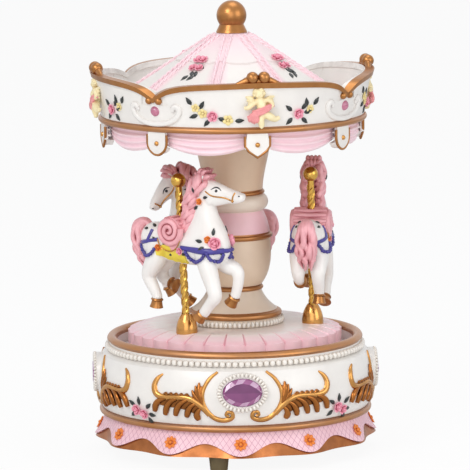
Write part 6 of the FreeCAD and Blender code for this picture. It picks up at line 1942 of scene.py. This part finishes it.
@dataclass
class Cherubs:
    """A small winged cherub with a sash at every peak of the crown."""

    count: int = 4
    wall: float = 54.9
    base_height: float = 146.0
    voxel: float = 0.22
    rounds: int = 3
    limbs: tuple[tuple[Spots, tuple[float, ...], int], ...] = (
        (((0.5, -1.3, 4.2), (1.0, -1.6, 2.0), (1.6, -1.7, -0.4), (2.2, -1.4, -2.0)), (1.5, 2.0, 2.0, 1.6), 14),
        (((-0.6, -1.5, 3.4), (-2.8, -2.0, 2.0), (-4.2, -2.0, 0.8), (-5.8, -1.5, 0.6)), (1.1, 1.15, 0.95, 0.8), 10),
        (((1.8, -1.5, 3.4), (4.0, -2.0, 3.6), (5.4, -2.0, 2.0), (4.4, -2.3, 0.4)), (1.1, 1.15, 0.95, 0.8), 10),
        (((2.0, -1.6, -1.6), (4.6, -2.0, -3.0), (6.6, -1.6, -4.0), (8.4, -1.3, -3.4)), (1.7, 1.6, 1.2, 0.85), 10),
        (((1.4, -1.5, -1.8), (0.8, -1.9, -4.4), (1.2, -1.6, -6.4), (0.4, -1.6, -7.2)), (1.6, 1.45, 1.1, 0.85), 10))

    def build(self) -> None:
        """Carve the cherubs and tie their sashes."""
        figure = carved(self._figure(), self.voxel, self.rounds)
        finished("carved_cherubs", copies([(figure, self._places())]), CHERUB, "carousel", ("cherubs",),
                 edge=80)
        sash = copies([(self._sash().mesh("sash"), self._places())])
        finished("cherub_sashes", sash, SASH, "carousel", edge=80)

    def _places(self) -> list[Matrix]:
        """Return where each cherub hangs, with offsets in metres."""
        return [Matrix.Translation(place(self.wall, angle, self.base_height) * MM)
                @ Matrix.Rotation(radians(angle), 4, "Z") for angle in spread(self.count, PEAK_ANGLE)]

    def _figure(self) -> Sketch:
        """Join the forms of one cherub: right, into the wall and up from the middle.

        Returns:
            Their sketch.
        """
        figure = Sketch()
        figure.ball((0.2, -1.7, 6.2), (1.9, 1.7, 2.1))
        figure.ball((0.1, -3.2, 5.8), (0.35, 0.4, 0.4))
        for side in SIDES:
            figure.ball((0.2 + 0.8 * side, -2.7, 5.4), (0.7, 0.6, 0.6))
        for i in range(11):
            a = pi * (-0.15 + 1.3 * i / 10)
            figure.ball((0.2 + 1.95 * cos(a), -1.5 - 0.5 * sin(i * 1.9), 6.5 + 1.8 * sin(a)),
                        (0.8, 0.8, 0.75))
        for i in range(4):
            figure.ball((-1.0 + 0.8 * i, -2.6, 7.5), (0.6, 0.55, 0.5))
        for path, radii, sides in self.limbs:
            figure.tube(smooth_path(path, 5), radii, sides)
        for side, shift in ((-1, -0.6), (1, 2.0)):
            for feather in range(4):
                wing = [(shift + 0.6 * side, -0.8, 3.2), (shift + 2.4 * side, -1.2, 4.4 - 0.9 * feather),
                        (shift + side * (4.6 - 0.5 * feather), -0.7, 5.0 - 1.5 * feather)]
                figure.tube(smooth_path(wing, 4), (0.7, 0.95, 0.35), 8)
        return figure

    @staticmethod
    def _sash() -> Sketch:
        """Tie the sash that crosses the cherub's hips.

        Returns:
            Its sketch.
        """
        sash = Sketch()
        for i in range(3):
            drop = 0.8 * i
            path = [(-2.6, -2.2, -0.9 - drop), (-0.6, -3.0, -0.3 - drop), (1.8, -3.2, 0.6 - drop),
                    (4.2, -2.7, 1.5 - 0.7 * drop), (6.2 - 0.4 * i, -1.6, 1.2 + 0.4 * i)]
            sash.tube(smooth_path(path, 5), (0.55, 0.75, 0.8, 0.7, 0.4), 8)
        for i in range(5):
            path = [(0.2 - 0.5 * i, -2.9, -0.9), (-0.9 - 0.7 * i, -2.9, -2.6), (-0.6 - 0.8 * i, -2.6, -4.2),
                    (-1.1 - 0.85 * i, -1.9, -5.6 + 0.35 * (i - 1) ** 2)]
            sash.tube(smooth_path(path, 5), (0.6, 0.8, 0.75, 0.35), 8)
        return sash


@dataclass
class ColumnPearls:
    """The ring of pearls at the foot of the column."""

    count: int = 66
    radius: float = 19.5
    lift: float = 3.5
    size: float = 1.2

    def build(self) -> None:
        """Lay the ring above the foot of the column."""
        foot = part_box("centre_column")[0][2] / MM + self.lift
        ring = [Seat(place(self.radius, a, foot), place(1, a, 0), self.size) for a in spread(self.count)]
        Scatter.piece("column_pearls", Ornaments.seed_pearl(), ring, PEARL, "carousel", "ivory_resin")


def main() -> None:
    """Build every piece of the music box in order."""
    logging.basicConfig(level=logging.INFO, format="%(name)s %(message)s")
    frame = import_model()
    nodes = frame["nodes"]
    Studio().build()
    CadPieces().dress(nodes)
    Base(Skin.of_mesh(nodes["base_drum"].data), Skin.of_mesh(nodes["lattice_skirt"].data)).build()
    balls = [v.co.xy.length / MM for v in nodes["crown_balls"].data.vertices]
    Canopy(Skin.of_mesh(nodes["canopy_cornice"].data), Skin.of_mesh(nodes["canopy_roof"].data),
           Skin.of_mesh(nodes["cornice_mouldings"].data), sum(balls) / len(balls)).build()
    ColumnPearls().build()
    Herd().build()
    Cherubs().build()


if __name__ == "__main__":
    main()
